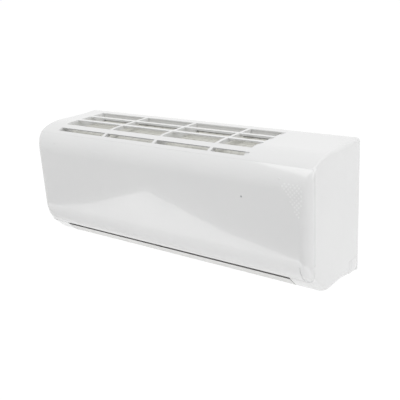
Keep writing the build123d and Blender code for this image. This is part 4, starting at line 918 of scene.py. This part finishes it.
def makeLouver():
    top, half, axis = louverLook["top"], louverLook["half"], louverLook["axis"]
    line = [p for p in casingOutline() if p[0] < louverLook["back"] + 0.01 and p[1] < 80]
    outer = []
    for first, second in zip(line, line[1:]):
        a, b = first[1], second[1]
        if a > top >= b:
            t = (a - top) / (a - b)
            outer.append(tuple(u + (v - u) * t for u, v in zip(first, second)))
        if b < top:
            outer.append(second)
    section = sunk(outer, louverLook["inset"])
    inner = sunk(outer[::-1], louverLook["inset"] + louverLook["wall"])
    section += [p for p in inner if p[1] < top - 2]
    parts = [barShape(section, (-half, half), 0.7)]
    foot = (axis[0] - 7.2, axis[1] - 7.2)
    ear = [(axis[0] + 3.5, axis[1] - 3.5), (axis[0] - 3.5, axis[1] + 3.5), (foot[0] - 5.6, foot[1] + 5.6),
           (foot[0] + 1.7, foot[1] - 1.7)]
    middle, pin = louverLook["bracket"], louverLook["pinRadius"]
    for x in ((-half, -half + 3), (half - 6, half), (middle - 5.3, middle - 2.3),
              (middle + 2.3, middle + 5.3)):
        parts.append(barShape(ear, x, 0.3))
        parts.append(roundBar(x, axis, louverLook["eyeRadius"]))
    parts.append(roundBar((middle - 6, middle + 6), axis, pin))
    parts.append(roundBar((-louverLook["pin"], -half + 1), axis, pin))
    keep("louver", joined(parts), "louver_white", "louver", ["louver"])


makeLouver()
print("louver made")


filterLook = {
    "spans": {"left": (-302.9, -20.1), "right": (-16.3, 203.7)},
    "net": 0.6,
    "rib": 1.8,
    "ribWidth": 2.0,
    "border": 6.0,
    "ribs": 11,
    "back": -28.0,
    "level": 262.0,
    "front": -184.0,
    "foot": 118.0,
    "crossHalf": (3.0, 1.0),
    "crossBacks": (-31.0, -54.0, -77.0, -100.0, -122.0),
    "crossHeights": (121.0, 140.0, 160.0, 180.0, 199.0),
}


def makeFilter(side, start, end):
    front, level, rib = filterLook["front"], filterLook["level"], filterLook["rib"]

    def swept(x, width, thick, count, step):
        points = [(x, y, level) for y in (filterLook["back"], -60.0, -90.0)]
        points += [(x, *p[:2]) for p in arcOf(frameLook["filterCentre"], 90, 180, 90 / 16)]
        points += [(x, front, h) for h in (160.0, filterLook["foot"])]
        return sweptAlong(points, width, thick, count, step, "filter_net")

    border = filterLook["border"]
    pitch = (end - start) / (filterLook["ribs"] + 1)
    parts = [swept((start + end) / 2, end - start, filterLook["net"], 1, 0)]
    parts.append(swept(start + border / 2, border, rib, 2, end - start - border))
    parts.append(swept(start + pitch, filterLook["ribWidth"], rib, filterLook["ribs"], pitch))
    half = rib / 2
    for n, y in enumerate(filterLook["crossBacks"]):
        wide = filterLook["crossHalf"][min(n, 1)]
        parts.append(boxShape((start, end), (y - wide, y + wide), (level - half, level + half), 0.2))
    for n, h in enumerate(filterLook["crossHeights"]):
        wide = filterLook["crossHalf"][min(n, 1)]
        parts.append(boxShape((start, end), (front - half, front + half), (h - wide, h + wide), 0.2))
    keep("filter" + side.capitalize(), joined(parts), "filter_net", "casing", ["filter_" + side])


for side, (start, end) in filterLook["spans"].items():
    makeFilter(side, start, end)
print("filters made")


# each slab runs between two (y, h) points at the middle of its depth
finLook = {
    "run": (-298.7, 202.7),
    "pitch": 1.9,
    "thick": 0.2,
    "deep": 24.0,
    "slabs": {
        "coil_rear_fins": ((-38.0, 168.0), (-88.0, 246.0)),
        "coil_top_fins": ((-96.0, 246.0), (-152.0, 186.0)),
        "coil_front_fins": ((-165.5, 178.0), (-165.5, 101.0)),
    },
}


def makeFins(node, start, end):
    low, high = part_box(node)
    span = math.dist(start, end)
    wy, wh = (end[0] - start[0]) / span, (end[1] - start[1]) / span
    reach = finLook["deep"] / 2
    sides = ((start, 1), (end, 1), (end, -1), (start, -1))
    corners = [(p[0] + s * wh * reach, p[1] - s * wy * reach) for p, s in sides]
    corners = [(min(max(y, low.y / mm), high.y / mm), h) for y, h in corners]
    x, last = finLook["run"]
    plate = barShape(corners, (x, x + finLook["thick"]), 0.0)
    values = {"Count": int((last - x) / finLook["pitch"]), "Step": (finLook["pitch"] * mm, 0, 0)}
    keep(pieceName(node), grown(plate, pieceRow, values, "fin_aluminium"), "fin_aluminium", "casing", [node])


for node, (start, end) in finLook["slabs"].items():
    makeFins(node, start, end)
print("fin packs made")


# the field's limits are places along X and heights; its right side leans in by lean towards the foot
studLook = {
    "pitch": 8.4,
    "rowStep": 4.4,
    "radius": 2.2,
    "rise": 0.28,
    "right": 344.0,
    "left": 297.0,
    "top": 240.0,
    "low": 158.0,
    "lean": 6.0,
    "bow": 0.85,
    "sizes": (0.85, 1.0),
    "seed": 11,
}


def panelFront(x, h):
    # where the panel's face lies on its flat front, nose and end rounding, and the way into the wall there
    cy, ch, radius = casing["nose"]
    inset = panelLook["inset"]
    bend = casing["endRadius"] - inset
    past = min(max(0.0, abs(x) - (casing["half"] - casing["endRadius"])), bend * 0.9)
    rise = max(0.0, h - ch)
    y = cy - math.sqrt((radius - inset) ** 2 - rise ** 2) + bend - math.sqrt(bend ** 2 - past ** 2)
    lean = rise / (radius - inset)
    return y, Vector((-past / bend, math.sqrt(1 - lean ** 2), -lean)).normalized()


def studShape(sides=12):
    # a low dome with a point behind it, inside the panel's wall
    mesh = bmesh.new()
    rise, radius = studLook["rise"] * mm, studLook["radius"] * mm
    peak = mesh.verts.new((0, -rise, 0))
    rings = [[mesh.verts.new((u, -rise * high, v)) for u, v in circlePoints(radius * share, sides)]
             for share, high in ((0.68, 0.85), (1.0, 0.0))]
    under = mesh.verts.new((0, rise, 0))
    for n in range(sides):
        after = (n + 1) % sides
        mesh.faces.new((peak, rings[0][n], rings[0][after]))
        mesh.faces.new((rings[0][n], rings[1][n], rings[1][after], rings[0][after]))
        mesh.faces.new((under, rings[1][after], rings[1][n]))
    return closeUp(mesh, angle=60)


def studPlaces():
    # staggered rows of points that taper towards the foot of the field
    pitch, right, left = studLook["pitch"], studLook["right"], studLook["left"]
    top, low = studLook["top"], studLook["low"]
    places = []
    row = 0
    h = top - 2
    while h > low:
        down = (top - h) / (top - low)
        edge = left + (right - left) * down ** studLook["bow"]
        x = right - 3 - (pitch / 2 if row % 2 else 0)
        while x > edge:
            if x < right - studLook["lean"] * down:
                places.append((x, h))
            x -= pitch
        h -= studLook["rowStep"]
        row += 1
    return places


def makeStuds():
    stud = linked("studShape", studShape())
    points, facing = [], []
    for x, h in studPlaces():
        y, inward = panelFront(x, h)
        points.append(place(x, y + 0.02, h))
        facing.extend(inward)
    field = bpy.data.meshes.new("studPoints")
    field.from_pydata(points, [], [])
    field.attributes.new("inward", "FLOAT_VECTOR", "POINT").data.foreach_set("vector", facing)
    smallest, largest = studLook["sizes"]
    values = {"Stud": stud, "Smallest": smallest, "Largest": largest, "Seed": studLook["seed"]}
    studs = grown(field, studField, values, "casing_white", 60)
    bpy.data.objects.remove(stud)
    pattern = keep("panelStuds", studs, "casing_white", "panel")
    # the studs' relief is their own; their paler white than the casing is a painted highlight
    pattern.data.materials[0] = dotHighlightFinish


makeStuds()
print("raised pattern made")


easedEdge = 0.25
eased = {"wall_plate", "pipe_knockout_left", "pipe_knockout_right", "terminal_cover", "control_cover",
         "auto_button", "drain_plug", "gas_flare_nut", "liquid_flare_nut", "cable_grommet", "terminal_block",
         "link_bar_left", "link_bar_right", "vane_base_left", "vane_base_right"}
made = {"front_panel", "front_frame", "louver", "filter_left", "filter_right", *finLook["slabs"]}


def refine(node, edge, angle=33.0):
    # a welded copy of the node, with smooth curves and eased edges
    mesh = bmesh.new()
    mesh.from_mesh(frame["nodes"][node].data)
    bmesh.ops.remove_doubles(mesh, verts=mesh.verts, dist=weldGap)
    bmesh.ops.dissolve_limit(mesh, angle_limit=math.radians(0.4), verts=mesh.verts, edges=mesh.edges)
    shape = shaded(meshOf(mesh, node), angle)
    if edge:
        shape = applied(shape, [easing(edge, 50)], angle)
    bodies = frame["record"]["behaviour"]["bodies"]
    body = next(key for key, members in bodies.items() if node in members)
    keep(pieceName(node), shape, slotOf[node], body, [node])


for node in sorted(frame["nodes"]):
    if node not in made:
        refine(node, easedEdge if node in eased else 0.0)
print("other pieces refined")


room = {
    "floorLevel": -0.60,
    "floorReach": 60.0,
    "floorWhite": 1.085,
    "floorShare": 0.85,
    "worldStrength": 0.62,
    "cardStrength": (3.0, 1.1),
    "cardFade": 0.55,
    "cardCorner": (-1.332, -1.627),
    "cardAlong": (0.931, 0.366),
    "cardSize": (2.6, 1.9),
}
lamps = {
    "overhead": {"spot": (0.2, -0.85, 2.15), "aim": (0, -0.1, 0), "size": (2.4, 1.8), "power": 21.0},
    "sideLight": {"spot": (2.3, 0.15, 0.5), "aim": (0, -0.1, 0), "size": (1.2, 1.2), "power": 9.0},
}
cameraLook = {
    "spot": (0.875, -1.182, 0.465),
    "lens": 60.19,
    "yaw": 37.82,
    "pitch": 19.13,
    "roll": -3.51,
}


def cleared(owner):
    # the node tree of a world or a material, with nothing in it yet
    owner.use_nodes = True
    owner.node_tree.nodes.clear()
    return owner.node_tree.nodes, owner.node_tree.links


def mixShaders(nodes, links, share, first, second):
    mix = nodes.new("ShaderNodeMixShader")
    links.new(share, mix.inputs["Fac"])
    links.new(first, mix.inputs[1])
    links.new(second, mix.inputs[2])
    return mix.outputs["Shader"]


def whiteMix(nodes, links, lit, white, share):
    # what the camera, gloss and glass see: mostly plain white, so that a soft shadow still shows
    path = nodes.new("ShaderNodeLightPath").outputs
    seen = calculate(nodes, links, "MAXIMUM", path["Is Camera Ray"], path["Is Glossy Ray"])
    seen = calculate(nodes, links, "MAXIMUM", seen, path["Is Transmission Ray"])
    return mixShaders(nodes, links, calculate(nodes, links, "MULTIPLY", seen, share), lit, white)


def makeWorld():
    world = bpy.data.worlds.new("studio")
    bpy.context.scene.world = world
    nodes, links = cleared(world)
    skies = []
    for strength in (room["worldStrength"], 1.0):
        sky = nodes.new("ShaderNodeBackground")
        sky.inputs["Strength"].default_value = strength
        sky.inputs["Color"].default_value = (1, 1, 1, 1)
        skies.append(sky.outputs[0])
    output = nodes.new("ShaderNodeOutputWorld")
    links.new(whiteMix(nodes, links, *skies, 1.0), output.inputs["Surface"])


def stageSheet(name, corners, level, material):
    # one flat face that belongs to the room
    mesh = bmesh.new()
    mesh.faces.new([mesh.verts.new((x, y, level)) for x, y in corners])
    shape = meshOf(mesh, name)
    shape.materials.append(material)
    linked(name, shape)


def makeFloor():
    material = bpy.data.materials.new("paleFloor")
    nodes, links = cleared(material)
    lit = nodes.new("ShaderNodeBsdfDiffuse")
    lit.inputs["Color"].default_value = (0.93, 0.93, 0.93, 1)
    white = nodes.new("ShaderNodeEmission")
    white.inputs["Strength"].default_value = room["floorWhite"]
    output = nodes.new("ShaderNodeOutputMaterial")
    mixed = whiteMix(nodes, links, lit.outputs[0], white.outputs[0], room["floorShare"])
    links.new(mixed, output.inputs["Surface"])
    stageSheet("floor", circlePoints(room["floorReach"], 64), room["floorLevel"], material)


def makeCard():
    # a pale sheet on the floor that only shows as a soft gleam in glossy surfaces
    ax, ay = room["cardAlong"]
    cx, cy = room["cardCorner"]
    long, wide = room["cardSize"]
    material = bpy.data.materials.new("gleam")
    nodes, links = cleared(material)
    path = nodes.new("ShaderNodeLightPath")
    clear = nodes.new("ShaderNodeBsdfTransparent")
    glow = nodes.new("ShaderNodeEmission")
    coordinates = nodes.new("ShaderNodeTexCoord")
    inward = nodes.new("ShaderNodeVectorMath")
    inward.operation = "DOT_PRODUCT"
    inward.inputs[1].default_value = (-ay, ax, 0)
    links.new(coordinates.outputs["Object"], inward.inputs[0])
    start = -ay * cx + ax * cy
    fade = rangeOf(nodes, links, inward.outputs["Value"], *room["cardStrength"],
                   start, start + wide * room["cardFade"])
    links.new(fade, glow.inputs["Strength"])
    output = nodes.new("ShaderNodeOutputMaterial")
    mixed = mixShaders(nodes, links, path.outputs["Is Glossy Ray"], clear.outputs[0], glow.outputs[0])
    links.new(mixed, output.inputs["Surface"])
    corners = [(cx + ax * u - ay * v, cy + ay * u + ax * v)
               for u, v in ((0, 0), (long, 0), (long, wide), (0, wide))]
    stageSheet("gleamCard", corners, room["floorLevel"] + 0.01, material)


def makeLamp(name, spot, aim, size, power):
    lamp = bpy.data.lights.new(name, "AREA")
    lamp.shape = "RECTANGLE"
    lamp.size, lamp.size_y = size
    lamp.energy = power
    holder = linked(name, lamp)
    holder.location = spot
    holder.rotation_euler = (Vector(aim) - Vector(spot)).to_track_quat("-Z", "Y").to_euler()


def makeCamera():
    camera = bpy.data.cameras.new("camera")
    camera.sensor_width = 36.0
    camera.lens = cameraLook["lens"]
    camera.clip_end = 40
    yaw, pitch, roll = (math.radians(cameraLook[key]) for key in ("yaw", "pitch", "roll"))
    ahead = Vector((-math.sin(yaw) * math.cos(pitch), math.cos(yaw) * math.cos(pitch), -math.sin(pitch)))
    right = Vector((math.cos(yaw), math.sin(yaw), 0))
    up = right.cross(ahead)
    across = right * math.cos(roll) + up * math.sin(roll)
    above = up * math.cos(roll) - right * math.sin(roll)
    turn = Matrix((across, above, -ahead)).transposed()
    holder = linked("camera", camera)
    holder.matrix_world = Matrix.Translation(cameraLook["spot"]) @ turn.to_4x4()
    bpy.context.scene.camera = holder


makeWorld()
makeFloor()
makeCard()
for name, values in lamps.items():
    makeLamp(name, **values)
makeCamera()
bpy.context.scene.view_settings.view_transform = "Standard"
print("room, lamps and camera made")
